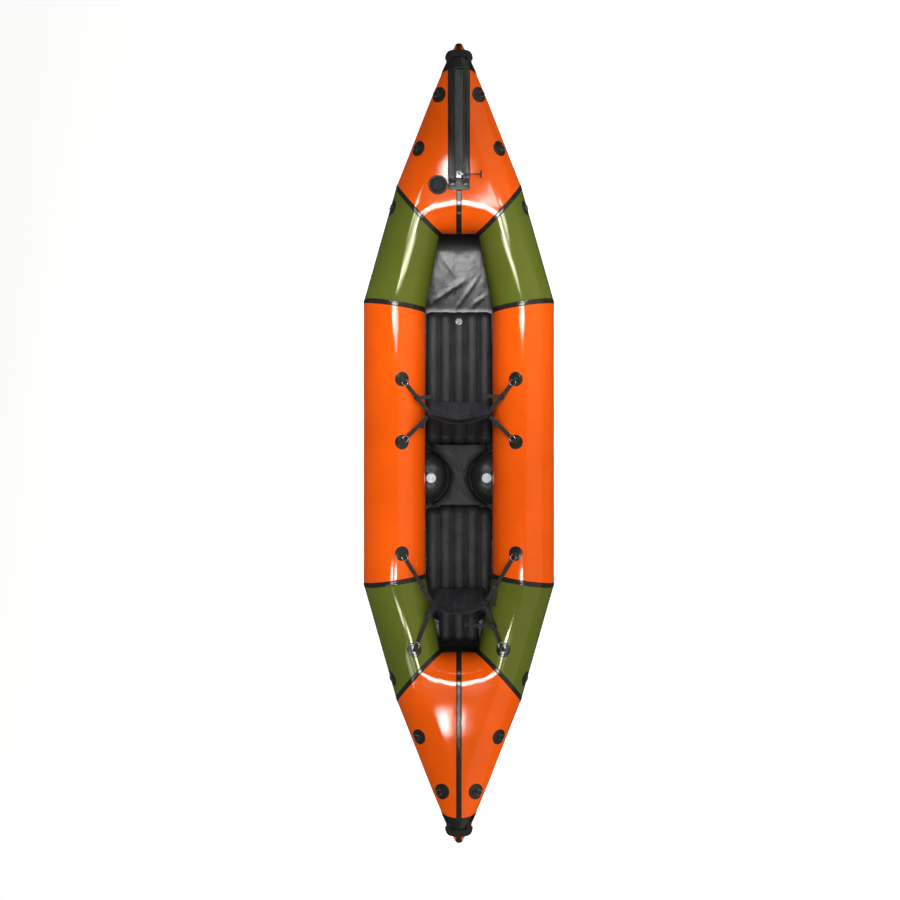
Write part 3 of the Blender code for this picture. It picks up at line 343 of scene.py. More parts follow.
def outline_half(y):
    """Half the cone's width at y: a straight taper plus a slight outward bow."""
    share = (TIP_Y - y) / (TIP_Y - OUT_Y)
    bow = OUTLINE_BOW * np.sin(np.pi * np.clip(1 - share, 0, 1) ** 2)
    return TIP_HALF_WIDTH + (OUT_X - TIP_HALF_WIDTH) * share + bow


def cone_levels(x, y):
    """Middle height and half thickness of a cone over (x, y): rounded from wall and outline."""
    across = np.abs(x)
    beyond = np.maximum(across - WALL_HALF, 0)
    start = np.maximum(RIDGE_Y, WALL_Y + beyond * END_SEAM_ALONG / END_SEAM_IN)
    share = np.clip((y - start) / (TIP_Y - start), 0, 1)
    middle = END_Z + (END_RADIUS + TIP_LIFT - TIP_HALF_HEIGHT) * share
    half = END_RADIUS + (TIP_HALF_HEIGHT - END_RADIUS) * share
    turn = beyond / np.maximum(beyond + y - WALL_Y, 1e-6)
    seam_turn = END_SEAM_IN / (END_SEAM_IN + END_SEAM_ALONG)
    seam_half = math.hypot(END_SEAM_IN, END_SEAM_ALONG)
    inner_round = END_RADIUS + (seam_half - END_RADIUS) * np.minimum(turn / seam_turn, 1)
    outer_round = np.minimum(EDGE_ROUND, np.maximum(outline_half(y), TIP_HALF_WIDTH) * OUTLINE_COS)
    nose_y = TIP_Y - NOSE_LENGTH
    nose_half = outline_half(nose_y)
    nose_end = nose_y + NOSE_LENGTH * np.sqrt(np.clip(1 - (across / nose_half) ** 2, 0, 1))
    nose = np.where(across < nose_half, rounded(nose_end - y, NOSE_ROUND), 1)
    height = rounded(np.hypot(beyond, np.maximum(y - WALL_Y, 0)), inner_round)
    height = height * rounded((outline_half(y) - across) * OUTLINE_COS, outer_round)
    return middle, half * height * nose


def end_cone(turn, ray, end):
    """A cone by rays from the cockpit wall to the outline: 0 right seam, 8 middle, 16 left seam.

    Over each ray the section is a closed curve of the levels above, cos spaced; the
    sections lean with the seam and come upright towards the middle.
    """
    side = np.where(ray > 8, -1, 1)
    ray = np.where(ray > 8, 16 - ray, ray)
    share = ray / 8
    y = OUT_Y + (TIP_Y - NOSE_LENGTH - OUT_Y) * np.sin(np.pi / 2 * np.minimum(ray / 7, 1))
    nose = np.clip(ray - 7, 0, 1) * np.pi / 2
    outer_x = outline_half(y) * np.cos(nose)
    outer_y = y + NOSE_LENGTH * np.sin(nose)
    inner_x = WALL_HALF * (1 - share)
    x = (outer_x + inner_x) / 2 + (outer_x - inner_x) / 2 * np.cos(turn)
    y = (outer_y + WALL_Y) / 2 + (outer_y - WALL_Y) / 2 * np.cos(turn)
    middle, height = cone_levels(x, y)
    lean = SEAM_LEAN * (1 - share) ** 2
    upper = np.sign(np.sin(turn).round(9))
    return beside(side * x, end * (y - lean * np.sin(turn)), middle + height * upper)


def unit(vectors):
    """The vectors, or one, scaled to length 1."""
    return vectors / np.maximum(np.linalg.norm(vectors, axis=-1, keepdims=True), 1e-12)


def facing(grid, wrap):
    """Unit normals of a grid of points: the cross product of its two central differences."""
    down = np.gradient(grid, axis=0)
    if wrap:
        across = (np.roll(grid, -1, 1) - np.roll(grid, 1, 1)) / 2
    else:
        across = np.gradient(grid, axis=1)
    return unit(np.cross(across, down))


SAME_POINT = 1e-6


def skin(name, grid, finish, wrap=(False, True), cap=True, sharp=None):
    """A mesh over a grid of points, each joined to the next in its row and column.

    wrap closes the rows' or columns' ends, and cap fans the open first and last row shut.
    UVs are the mean distances along the two ways, in metres.
    """
    rows, columns = grid.shape[:2]
    i, j = np.meshgrid(np.arange(rows - (not wrap[0])), np.arange(columns - (not wrap[1])), indexing="ij")
    below, right = (i + 1) % rows, (j + 1) % columns
    faces = beside(i * columns + j, i * columns + right, below * columns + right, below * columns + j)
    across = np.linalg.norm(np.diff(grid, axis=1, append=grid[:, :1]), axis=-1).mean(0)
    down = np.linalg.norm(np.diff(grid, axis=0, append=grid[:1]), axis=-1).mean(1)
    across = np.concatenate([[0], np.cumsum(across)])
    down = np.concatenate([[0], np.cumsum(down)])
    uv = np.stack([
        beside(across[j], down[i]), beside(across[j + 1], down[i]),
        beside(across[j + 1], down[i + 1]), beside(across[j], down[i + 1]),
    ], -2).reshape(-1, 2)
    points = grid.reshape(-1, 3)
    faces = faces.reshape(-1, 4).tolist()
    if cap and not wrap[0]:
        ends = np.stack([grid[0].mean(0), grid[-1].mean(0)])
        ring = np.arange(columns)
        last = (rows - 1) * columns
        fans = [beside(first + ring, first + (ring + 1) % columns, ring * 0 + len(points) + k)
                for k, first in enumerate((0, last))]
        faces += np.concatenate(fans).tolist()
        points = np.concatenate([points, ends])
        uv = np.concatenate([uv, np.tile([[0, 0], [0.005, 0], [0, 0.005]], (2 * columns, 1))])
    return shaped(name, points, faces, finish, uv, sharp)


def shaped(name, points, faces, finish, uv, sharp):
    """A finished object from points and faces: doubles merged, normals outward, smooth."""
    mesh = bpy.data.meshes.new(name)
    mesh.from_pydata(points.tolist(), [], faces)
    mesh.uv_layers.new(name="UVMap").data.foreach_set("uv", np.asarray(uv, np.float32).ravel())
    made = bmesh.new()
    made.from_mesh(mesh)
    bmesh.ops.remove_doubles(made, verts=made.verts, dist=SAME_POINT)
    bmesh.ops.recalc_face_normals(made, faces=made.faces)
    made.to_mesh(mesh)
    made.free()
    mesh.polygons.foreach_set("use_smooth", [True] * len(mesh.polygons))
    if sharp:
        mesh.set_sharp_from_angle(angle=math.radians(sharp))
    mesh.materials.append(finish.material)
    piece = bpy.data.objects.new(name, mesh)
    scene.collection.objects.link(piece)
    return piece


def settle(piece, body, slot, *nodes):
    """The piece rides on its body and stands for CAD nodes, which are hidden; slot is not used."""
    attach(piece, body)
    if nodes:
        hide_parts(*nodes)
    return piece


PUCKER_HEIGHT = 0.00034
PUCKER_START = 0.022
PUCKER_REACH = 0.055
BULGE_HEIGHT = 0.00018


def puckers(turn, distance, seed):
    """Radial ripples: three sines round the tube that rise beside a weld and die out along it."""
    waves = ((1, 11, 1), (0.8, 19, 2.3), (0.6, 31, 4.1))
    ripple = sum(high * np.sin(count * turn + shift * seed) for high, count, shift in waves)
    inside = 0.35 + 0.65 * (1 - np.cos(turn)) / 2
    grow = 1 - np.exp(-((distance / PUCKER_START) ** 2))
    return PUCKER_HEIGHT * ripple * inside * grow * np.exp(-distance / PUCKER_REACH)


def unevenness(turn, along, seed):
    """Slow bulges over a blown-up tube: three sines that run slantwise round and along it."""
    wave = np.sin(3 * turn + 13 * along + seed) + np.sin(5 * turn - 19 * along + 2 * seed)
    return BULGE_HEIGHT * (wave + 0.6 * np.sin(2 * turn + 31 * along + 3 * seed))


def coated_cloth(name, base, tint):
    """Glossy coated nylon: woven ground, cloudy tone, faint scuffs and a slight ripple."""
    cloth = Finish(name, specular_ior_level=0.5, specular_tint=tint)
    clouds = cloth.noise(0.30, 3)
    grime = cloth.noise(0.045, 4).between(0.56, 0.80)
    streaks = cloth.noise(0.006, 3, stretch=(1, 0.12, 1)).between(0.64, 0.78)
    scuff = streaks * cloth.noise(0.22).between(0.5, 0.7)
    colour = clouds.between(0.3, 0.7).blend(shade(base, 0.94), shade(base, 1.04))
    colour = (grime * 0.16).blend(colour, shade(base, 0.66))
    colour = (scuff * 0.25).blend(colour, shade(base, 1.25))
    cloth.paint(colour, cloth.noise(0.11, 3) * 0.05 + scuff * 0.10 + 0.045)
    weave = cloth.threads(0.0009)
    return cloth.relief((cloth.noise(0.14, 1), 0.0005), (cloth.noise(0.012, 2), 0.00002), (weave, 0.000004))


orange_cloth = coated_cloth("orange_coated_nylon", ORANGE, (1, 0.97, 0.93, 1))
green_cloth = coated_cloth("green_coated_nylon", GREEN, (1, 1, 0.70, 1))
TURNS = 128
turn = np.linspace(0, math.tau, TURNS, endpoint=False)
hull_grids = {}


def add_hull_piece(name, grid, bump, finish, side, slot):
    """Push a length of hull out along its normals by bump, mirror it to its side and keep it."""
    normal = facing(grid, True)
    normal *= np.sign((normal * (grid - grid.mean(1, keepdims=True))).sum(-1).mean())
    grid = (grid + normal * bump[..., None]) * (side, 1, 1)
    hull_grids[name] = grid, normal * (side, 1, 1)
    return settle(skin(name + "_length", grid, finish), "hull", slot, name)


def close_at_ends(count):
    """Shares from 0 to 1, closest together at both ends: half of 1 minus a cosine."""
    return (1 - np.cos(np.linspace(0, np.pi, count))) / 2


for side_name, side in SIDES:
    seed = 1.7 + side
    across, down = np.meshgrid(turn, close_at_ends(81))
    near = np.minimum(down, 1 - down) * 2 * SIDE_HALF
    bump = puckers(across, near, seed + np.sign(down - 0.5)) + unevenness(across, down * 1.4, seed)
    grid = side_tube(across, down)
    add_hull_piece(f"side_tube_{side_name}", grid, bump, orange_cloth, side, "orange_fabric")
    for end_name, end in ENDS:
        seed += 2.9
        across, down = np.meshgrid(turn, close_at_ends(49))
        near = np.minimum(down, 1 - down) * CORNER_LENGTH
        bump = puckers(across, near, seed + down) * (0.55 - 0.3 * end)
        bump += unevenness(across, down * 0.5, seed) * 0.5
        name = f"corner_tube_{end_name}_{side_name}"
        add_hull_piece(name, corner_tube(across, down, end), bump, green_cloth, side, "green_fabric")
for end_name, end in ENDS:
    half_rays = 8 * np.linspace(0, 1, 73) ** 1.15
    rays = np.concatenate([half_rays, 16 - half_rays[-2::-1]])
    across, down = np.meshgrid(turn, rays)
    grid = end_cone(across, down, end)
    near = np.linalg.norm(grid - grid[:1], axis=-1)
    near = np.minimum(near, np.linalg.norm(grid - grid[-1:], axis=-1))
    bump = puckers(across, near, 5 + end) * 0.6
    bump += unevenness(across, near, 2 + end) * 0.12 * np.clip(near / 0.05, 0, 1)
    bump *= np.clip((TIP_Y - 0.05 - np.abs(grid[..., 1])) / 0.2, 0, 1)
    add_hull_piece(f"{end_name}_tube", grid, bump, orange_cloth, 1, "orange_fabric")

hull_points = np.concatenate([grid.reshape(-1, 3) for grid, _ in hull_grids.values()])
hull_normals = np.concatenate([normal.reshape(-1, 3) for _, normal in hull_grids.values()])
NEAR = 0.03
BELL = 0.006


def onto_hull(points):
    """The hull's surface and normal below each point.

    The hull's samples near a point, weighted by closeness as a bell 6 mm wide, give a mean
    normal and a mean height of the point over them; the point is dropped by that height.
    """
    points = np.asarray(points, float)
    flat = points.reshape(-1, 3)
    low, up = [], []
    for some in np.array_split(flat, len(flat) // 300 + 1):
        close = ((hull_points > some.min(0) - NEAR) & (hull_points < some.max(0) + NEAR)).all(1)
        samples, normals = hull_points[close], hull_normals[close]
        gap = some[:, None] - samples[None]
        far = (gap ** 2).sum(-1)
        weight = np.exp((far.min(1, keepdims=True) - far) / (2 * BELL ** 2))
        weight /= weight.sum(1, keepdims=True)
        normal = unit(weight @ normals)
        height = (weight * (gap * normals[None]).sum(-1)).sum(1, keepdims=True)
        low.append(some - height * normal)
        up.append(normal)
    return np.concatenate(low).reshape(points.shape), np.concatenate(up).reshape(points.shape)


# Seam tapes: a black coated tape, 26 mm wide, welded round the outside of each of the eight
# joints, and a 28 mm one down the middle of each end, over the nose and along underneath.
TAPE_HALF = 0.013
CENTRE_TAPE_HALF = 0.014
TAPE_THICK = 0.0008
BAND_GAP = 0.0002
CENTRE_GAP = 0.0004
TAPE_BLACK = tone(34, 35, 32)
tape_edge = np.array([-1, -0.985, -0.94, -0.5, 0, 0.5, 0.94, 0.985, 1, 0.5, -0.5])
tape_lift = np.array([-0.4, 0.35, 0.9, 1, 1, 1, 0.9, 0.35, -0.4, -0.9, -0.9]) * TAPE_THICK


def welded_tape(name, roughness):
    """Black coated tape: fine cross weave, cloudy gloss and slightly paler dusty patches."""
    tape = Finish(name, specular_ior_level=0.5)
    dust = tape.noise(0.03, 4).between(0.5, 0.85)
    colour = dust.blend(TAPE_BLACK, shade(TAPE_BLACK, 1.7))
    tape.paint(colour, tape.noise(0.05, 3) * 0.08 + dust * 0.10 + (roughness - 0.20))
    return tape.relief((tape.noise(0.03, 2), 0.0004), (tape.threads(0.0008), 0.000008))


black_tape = welded_tape("black_welded_tape", 0.30)


def tape_band(name, at):
    """A band round a seam: at gives the surface for (angle, distance from the seam).

    Its section runs across the seam on the surface, lifted along the normal by the
    tape's thickness and tucked under at both edges.
    """
    turns = np.linspace(0, math.tau, 144, endpoint=False)
    angle, edge = np.meshgrid(turns, tape_edge * TAPE_HALF, indexing="ij")
    points = at(angle, edge)
    turned = at(angle + 1e-4, edge) - at(angle - 1e-4, edge)
    normal = unit(np.cross(turned, at(angle, edge + 0.004) - at(angle, edge - 0.004)))
    outward = points - points.mean((0, 1))
    normal *= np.sign((normal * outward).sum(-1, keepdims=True))
    lifted = points + normal * (tape_lift + BAND_GAP)[None, :, None]
    return skin(name, lifted, black_tape, wrap=(True, True))


def side_seam_band(angle, offset, side, end):
    """Towards the middle along the side tube where offset is negative, else along the corner tube."""
    seam = side_seam(angle, end)
    corner = unit(end_seam(angle, end) - seam)
    way = np.where(offset[..., None] < 0, np.array([0, end, 0]), corner)
    return (seam + way * offset[..., None]) * (side, 1, 1)


def end_seam_band(angle, offset, side, end):
    """Back along the corner tube where offset is negative, else out over the cone.

    The ray that lies that far out is found by scaling a first guess eight times.
    """
    seam = end_seam(angle, end)
    corner = unit(seam - side_seam(angle, end))
    reach = np.maximum(offset, 1e-5)
    ray = reach / 0.15
    for _ in range(8):
        gone = np.linalg.norm(end_cone(angle, ray, end) - seam, axis=-1)
        ray = np.clip(ray * reach / np.maximum(gone, 1e-7), 1e-6, 2.5)
    out = end_cone(angle, ray, end)
    return np.where(offset[..., None] > 0, out, seam + corner * offset[..., None]) * (side, 1, 1)


for side_name, side in SIDES:
    for end_name, end in ENDS:
        for kind, band in (("side", side_seam_band), ("end", end_seam_band)):
            name = f"{kind}_seam_tape_{end_name}_{side_name}"
            settle(tape_band(name, lambda a, d: band(a, d, side, end)), "hull", "black_fabric")


def middle_line(angle, x, end):
    """The cone's section near its middle, by the angle from the nose (0) over the top to the wall."""
    nose_y = TIP_Y - NOSE_LENGTH
    tip = nose_y + NOSE_LENGTH * np.sqrt(np.clip(1 - (x / outline_half(nose_y)) ** 2, 0, 1))
    y = (tip + WALL_Y) / 2 + (tip - WALL_Y) / 2 * np.cos(angle)
    middle, height = cone_levels(x, y)
    return beside(x, end * y, middle + height * np.sign(np.sin(angle).round(9)))


def angle_at(y):
    """The angle of the middle line over y on the deck."""
    return math.acos((y - (TIP_Y + WALL_Y) / 2) * 2 / (TIP_Y - WALL_Y))


def middle_tape(name, end, first, last, count):
    """Tape along the middle line between two angles, lifted off the hull as the bands are."""
    angle, x = np.meshgrid(np.linspace(first, last, count), tape_edge * CENTRE_TAPE_HALF, indexing="ij")
    points = middle_line(angle, x, end)
    normal = unit(np.cross(
        middle_line(angle + 1e-3, x, end) - middle_line(angle - 1e-3, x, end),
        middle_line(angle, x + 1e-3, end) - middle_line(angle, x - 1e-3, end),
    ))
    core = (0, end * (TIP_Y + WALL_Y) / 2, END_Z + 0.09)
    normal *= np.sign((normal * (points - core)).sum(-1, keepdims=True))
    return skin(name, points + normal * (tape_lift + CENTRE_GAP)[None, :, None], black_tape)


ZIP_START = WALL_Y + 0.257
DOCK_LENGTH = 0.058
for end_name, end in ENDS:
    far = ZIP_START - DOCK_LENGTH - 0.0008 if end > 0 else TIP_Y - 0.10
    tape = middle_tape(f"{end_name}_centre_tape_deck", end, angle_at(far), math.pi * 1.12, 90)
    settle(tape, "hull", "black_fabric", f"{end_name}_centre_tape")
    keel_start, keel_end = -angle_at(WALL_Y + 0.12), angle_at(TIP_Y - 0.09)
    under = middle_tape(f"{end_name}_centre_tape_keel", end, keel_start, keel_end, 120)
    settle(under, "hull", "black_fabric")

# Floor sheet: one piece of heavy black coated cloth under the whole cockpit, welded flat
# along the tubes' undersides and drawn tight, with a few soft folds near its two ends.
SHEET_MARGIN = 0.030
SHEET_THICK = 0.0014
SHEET_REST = 0.0009
END_WALL_Y = 1.135
END_WALL_RISE = 0.030
CORNER_RISE = 0.0512


def sheet_lift(y):
    """How far the sheet has risen at y: flat between the side seams, then along the corners."""
    return CORNER_RISE * np.maximum(np.abs(y) - SIDE_HALF, 0) / (CORNER_LENGTH + SEAM_LEAN)


floor_cloth = Finish("floor_sheet_cloth", specular_ior_level=0.36)
grain = floor_cloth.noise(0.02, 4).between(0.35, 0.75)
# Painted shade: from 1.02 to 1.09 m out, towards each end wall, the sheet is painted near black and made
# rougher, standing in for the shade under the end tubes.
painted_end_shade = floor_cloth.part(1).absolute().between(1.02, 1.09)
crease = floor_cloth.noise(0.11, 2, stretch=(1.3, 0.8, 1))
floor_cloth.paint(
    painted_end_shade.blend(grain.blend(tone(17, 18, 19), tone(26, 26, 27)), tone(7, 7, 8)),
    floor_cloth.noise(0.09, 3) * 0.12 + painted_end_shade * 0.45 + 0.17,
)
weave = floor_cloth.threads(0.0011)
floor_cloth.relief((crease, 0.0030), (floor_cloth.noise(0.012, 2), 0.00012), (weave, 0.00002))
wide, y = np.meshgrid(np.linspace(-1, 1, 97), np.linspace(-RIDGE_Y, RIDGE_Y, 241))
half = TUBE_SPREAD + SHEET_MARGIN - CORNER_TURN * sheet_lift(y) / CORNER_RISE
x = wide * half
inner = half - SHEET_MARGIN - 0.02
free = np.clip(1 - np.abs(x) / inner, 0, 1) * np.clip((RIDGE_Y - 0.10 - np.abs(y)) / 0.3, 0, 1)
wave = np.sin(9 * x + 5 * y) * np.sin(6 * y + 1)
folds = 0.0
for start, stop, high, width in (  # soft folds, each from one point of the sheet to another
    ((0.033, 0.877), (-0.169, 0.743), 0.0024, 0.012), ((0.114, 0.905), (-0.020, 0.717), 0.0015, 0.010),
    ((-0.089, 1.000), (-0.020, 0.905), 0.0016, 0.012), ((0.150, 0.800), (0.060, 0.730), 0.0018, 0.009),
):
    run = np.subtract(stop, start)
    share = np.clip(((x - start[0]) * run[0] + (np.abs(y) - start[1]) * run[1]) / (run @ run), 0, 1)
    away = np.hypot(x - start[0] - share * run[0], np.abs(y) - start[1] - share * run[1])
    folds = folds + high * np.exp(-(away / width) ** 2) * np.sin(np.pi * np.clip(share, 0.04, 0.96)) ** 0.5
end_wall = END_WALL_RISE * np.exp(-((np.abs(y) - END_WALL_Y) / 0.055) ** 2)
end_wall = end_wall * np.clip(1 - (np.abs(x) / 0.20) ** 4, 0, 1)
z = SHEET_REST + sheet_lift(y) + 0.0012 * np.sqrt(free) * (wave + 1.2) + folds * np.sqrt(free) + end_wall
edge = np.clip((np.abs(wide) * half - (half - SHEET_MARGIN)) / SHEET_MARGIN, 0, 1)
z += 0.0022 * edge ** 2
sheet = skin("floor_sheet_cloth", beside(x, y, z), floor_cloth, wrap=(False, False), cap=False)
thicken = sheet.modifiers.new("thickness", "SOLIDIFY")
thicken.thickness = SHEET_THICK
thicken.offset = 0.0
settle(sheet, "hull", "black_fabric", "floor_sheet")

# Nose wear patches: black coated cloth welded over the top and sides of each nose, from the
# sewn ends of the grab handle nearly to the tip, with arched edges.


def nose_section(y, angle, end):
    """A cone's section at y: x is the outline's half width times sin(angle), 0 on the crest."""
    x = outline_half(y) * np.sin(angle)
    middle, height = cone_levels(x, y)
    return beside(x, end * y, middle + height * np.sign(np.cos(angle).round(9)))


def normals_of(points, middle):
    """Unit normals of a grid of surface points, turned away from middle."""
    normal = facing(points, False)
    return normal * np.sign((normal * (points - middle)).sum(-1, keepdims=True))


PATCH_START = TIP_Y - 0.150
PATCH_END = TIP_Y - 0.049
PATCH_WRAP = 118
patch_edge = np.array([0, 0.006, 0.02, *np.linspace(0.05, 0.95, 28), 0.98, 0.994, 1])
for end_name, end in ENDS:
    turns = np.radians(np.linspace(-PATCH_WRAP, PATCH_WRAP, 97))
    around, share = np.meshgrid(turns, patch_edge, indexing="ij")
    arch = 0.022 * np.cos(around)
    y = (PATCH_START + arch) * (1 - share) + (PATCH_END + 0.4 * arch) * share
    points = nose_section(y, around, end)
    normal = normals_of(points, np.array([0, end * (TIP_Y - 0.09), 0.353]))
    side_share = np.clip((PATCH_WRAP - np.degrees(np.abs(around))) / 1.6, 0, 1)
    over_zip = 0.0026 * np.clip((0.064 - np.abs(points[..., 0])) / 0.006, 0, 1)
    over_zip *= (end > 0) * (np.cos(around) > 0)
    swell = rounded(np.minimum(share, 1 - share), 0.02) * rounded(side_share, 1)
    outer = points + normal * ((0.0013 + over_zip) * swell + 0.0001)[..., None]
    inner = (points - normal * 0.0006)[:, ::-1]
    piece = skin(f"{end_name}_nose_patch", np.concatenate([outer, inner], 1), black_tape)
    settle(piece, "hull", "black_fabric", f"{end_name}_end_patch")

# Webbing: the flat black polyester used for grab handles, seat straps and ring tabs, woven
# in a fine diagonal rib, with thin rounded edges. The handles arch over the noses.
webbing = Finish("black_webbing", sheen_weight=0.08, sheen_roughness=0.5)
WEBBING_BLACK = tone(31, 31, 31)
WEB_RIB = 0.0016
ribs = math.tau / WEB_RIB
slant = (webbing.part(1, "UV") * ribs + webbing.part(0, "UV") * (ribs * 0.8)).sine() * 0.5 + 0.5
fuzz = webbing.noise(0.0011, 3)
ribbed = slant.blend(shade(WEBBING_BLACK, 0.7), shade(WEBBING_BLACK, 1.25))
faded = webbing.noise(0.05, 3).between(0.35, 0.75) * 0.4
webbing.paint(faded.blend(ribbed, shade(WEBBING_BLACK, 1.6)), fuzz * 0.2 + 0.5)
webbing.relief((slant, 0.0003), (fuzz, 0.00012))


def knots(points, count, closed=False):
    """A smooth curve through the points: Catmull-Rom, each span a cubic of its four neighbours."""
    points = np.asarray(points, float)
    n = len(points)
    t = np.linspace(0, n if closed else n - 1, count, endpoint=not closed)
    i = np.minimum(t.astype(int), n - 1 if closed else n - 2)
    f = (t - i)[:, None]
    if closed:
        a, b, c, d = (points[(i + k) % n] for k in (-1, 0, 1, 2))
    else:
        longer = np.concatenate([[2 * points[0] - points[1]], points, [2 * points[-1] - points[-2]]])
        a, b, c, d = (longer[i + k] for k in (0, 1, 2, 3))
    return (
        b + f * (c - a) / 2 + f * f * (a - 2.5 * b + 2 * c - d / 2)
        + f ** 3 * (1.5 * (b - c) + (d - a) / 2)
    )


strap_section = np.array([
    (-1, 0), (-0.97, 0.6), (-0.88, 1), (-0.5, 1.0), (0, 1), (0.5, 1), (0.88, 1), (0.97, 0.6),
    (1, 0), (0.97, -0.6), (0.88, -1), (0.5, -1), (0, -1), (-0.5, -1), (-0.88, -1), (-0.97, -0.6),
])


def strap(name, path, wide, width, thick):
    """A flat band: its section carried along the path, broad along wide, thin across it."""
    path, wide = np.asarray(path, float), np.asarray(wide, float) * np.ones((len(path), 1))
    along = unit(np.gradient(path, axis=0))
    wide = unit(wide - along * (wide * along).sum(1, keepdims=True))
    thin = np.cross(along, wide)
    grid = path[:, None] + wide[:, None] * strap_section[None, :, :1] * width / 2
    return skin(name, grid + thin[:, None] * strap_section[None, :, 1:] * thick / 2, webbing)


HANDLE_WIDTH = 0.034
HANDLE_THICK = 0.0020
HANDLE_ROOT_Y = TIP_Y - 0.139
leg_y = HANDLE_ROOT_Y + np.array([-0.001, 0.010, 0.026, 0.042])
leg_angle = np.radians([74, 71, 68, 66])
leg = nose_section(leg_y, leg_angle, 1)
leg_up = unit(leg - beside(leg[:, 0] * 0.35, leg_y, cone_levels(0 * leg_y, leg_y)[0]))
crest = float(sum(cone_levels(np.array(0.0), np.array(TIP_Y - 0.053)))) + 0.0086
arch = (0, TIP_Y, crest) - np.array([  # from the middle, behind the tip and below the crest
    (-0.0555, 0.086, 0.018), (-0.0535, 0.070, 0.009), (-0.047, 0.0605, 0.0035), (-0.034, 0.0565, 0.0008),
    (-0.012, 0.054, 0),
])
arch_wide = [(0.92, 0.14, -0.35), (0.84, 0.42, -0.30), (0.45, 0.86, -0.12), (0.10, 0.99, -0.02), (0, 1, 0)]
half_path = np.concatenate([leg + leg_up * 0.0032, arch])
half_wide = np.concatenate([np.cross((0, 1, 0), leg_up), arch_wide])
handle_path, handle_wide = (
    knots(np.concatenate([half, half[::-1] * (-1, 1, 1)]), 141) for half in (half_path, half_wide)
)
for end_name, end in ENDS:
    path, wide = handle_path * (1, end, 1), handle_wide * (1, end, 1)
    handle = strap(f"{end_name}_webbing_handle", path, wide, HANDLE_WIDTH, HANDLE_THICK)
    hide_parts(f"{end_name}_grab_handle")
    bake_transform(handle)

# Tie-downs: twelve round black patches welded near the hull's edges, each with a second
# smaller round layer, a folded webbing tab and a worn steel D-ring that hangs outboard.
PATCH_RADIUS = 0.040
PAD_RADIUS = 0.021
LAYER_THICK = 0.0009
TIE_WIRE = 0.0021
rim_steps = np.array([  # share of the radius, share of the thickness
    (0.02, 1), (0.2, 1), (0.4, 1), (0.6, 1), (0.8, 1), (0.93, 1), (0.975, 0.86), (0.995, 0.45), (1, 0),
    (0.97, -0.6), (0.7, -0.6), (0.4, -0.6), (0.02, -0.6),
])
patch_cloth = welded_tape("black_patch_cloth", 0.29)


def place(origin, forward, up):
    """A frame at origin: z along up, x as near forward as a right angle allows."""
    up = unit(np.asarray(up, float))
    across = unit(np.cross(up, forward))
    frame = np.eye(4)
    frame[:3] = np.stack([np.cross(across, up), across, up, origin], 1)
    return frame


def put(points, frame):
    """Points of a frame in the raft."""
    return np.asarray(points, float) @ frame[:3, :3].T + frame[:3, 3]


def welded_disc(name, frame, radius, thick=LAYER_THICK, lift=0.0):
    """A disc of cloth on the round of the hull: rings of its edge profile dropped onto it."""
    turn, row = np.meshgrid(np.linspace(0, math.tau, 64, endpoint=False), np.arange(len(rim_steps)))
    reach = radius * rim_steps[row, 0]
    flat = put(beside(reach * np.cos(turn), reach * np.sin(turn), 0), frame)
    low, normal = onto_hull(flat)
    return skin(name, low + normal * (lift + rim_steps[row, 1] * thick)[..., None], patch_cloth)


def wire(name, path, radius, frame, finish):
    """Round wire along a closed flat path in the frame's z = 0 plane."""
    along = unit(np.roll(path, -1, 0) - np.roll(path, 1, 0))
    out = beside(along[:, 1], -along[:, 0])
    turn = np.linspace(0, math.tau, 14, endpoint=False)
    reach = radius * np.cos(turn)
    flat = path[:, None] + out[:, None] * reach[None, :, None]
    grid = beside(flat[..., 0], flat[..., 1], radius * np.sin(turn))
    return skin(name, put(grid, frame), finish, wrap=(True, True))


def mm(*rows):
    """Rows of millimetres, as metres."""
    return np.array(rows) / 1000


def speckled(name, specks, share, first, second, gloss, grain, **constants):
    """A plain material: clouds of a second tone, an uneven gloss and a fine bump.

    specks is (size, detail, where they start, where they are full), gloss is (size, detail,
    range, least) and grain is (size, detail, depth).
    """
    made = Finish(name, **constants)
    size, detail, low, high = specks
    spots = made.noise(size, detail).between(low, high) * share
    size, detail, spread, least = gloss
    made.paint(spots.blend(first, second), made.noise(size, detail) * spread + least)
    size, detail, depth = grain
    return made.relief((made.noise(size, detail), depth))


RING_HALF = 0.014
RING_BAR = 0.012
TAB_HALF = 0.0095
bend = np.linspace(math.pi / 2, -math.pi / 2, 25)
straight = np.linspace(0.005, RING_BAR - 0.001, 5)
ring_leg = np.concatenate([mm((0.7, 13.2), (2.5, 14)), beside(straight, RING_HALF)])
ring_path = np.concatenate([
    beside(0, np.linspace(-0.0115, 0.0115, 15)), ring_leg,
    beside(RING_BAR + RING_HALF * np.cos(bend), RING_HALF * np.sin(bend)), ring_leg[::-1] * (1, -1),
])
ring_steel = speckled(
    "worn_ring_steel", (0.004, 4, 0.45, 0.7), 1, tone(150, 152, 154), tone(232, 232, 230),
    (0.002, 2, 0.12, 0.14), (0.0012, 2, 0.00005), metallic=0.85, specular_ior_level=0.6,
)
tab_profile = mm(  # along x and up from the bar's middle
    (-21, -3), (-21, -1.2), (-12, -0.6), (-6, 1.2), (-3.4, 3), (0, 3.9), (3.2, 2.4), (3.9, 0), (3.2, -2.4),
    (0.5, -3.4), (-10, -3.6),
)


def ring_tab(name, frame):
    """A webbing tab folded round a ring's bar: its outline carried across the bar."""
    line = knots(tab_profile, 44, closed=True)[None]
    edge = np.array([-1, -0.98, -0.9, -0.45, 0, 0.45, 0.9, 0.98, 1])[:, None] * TAB_HALF
    pinch = 1 - 0.12 * (np.abs(edge) / TAB_HALF) ** 12
    grid = beside(line[..., 0], edge, line[..., 1] * pinch - 0.0004 * (1 - pinch))
    return skin(name, put(grid, frame), webbing)


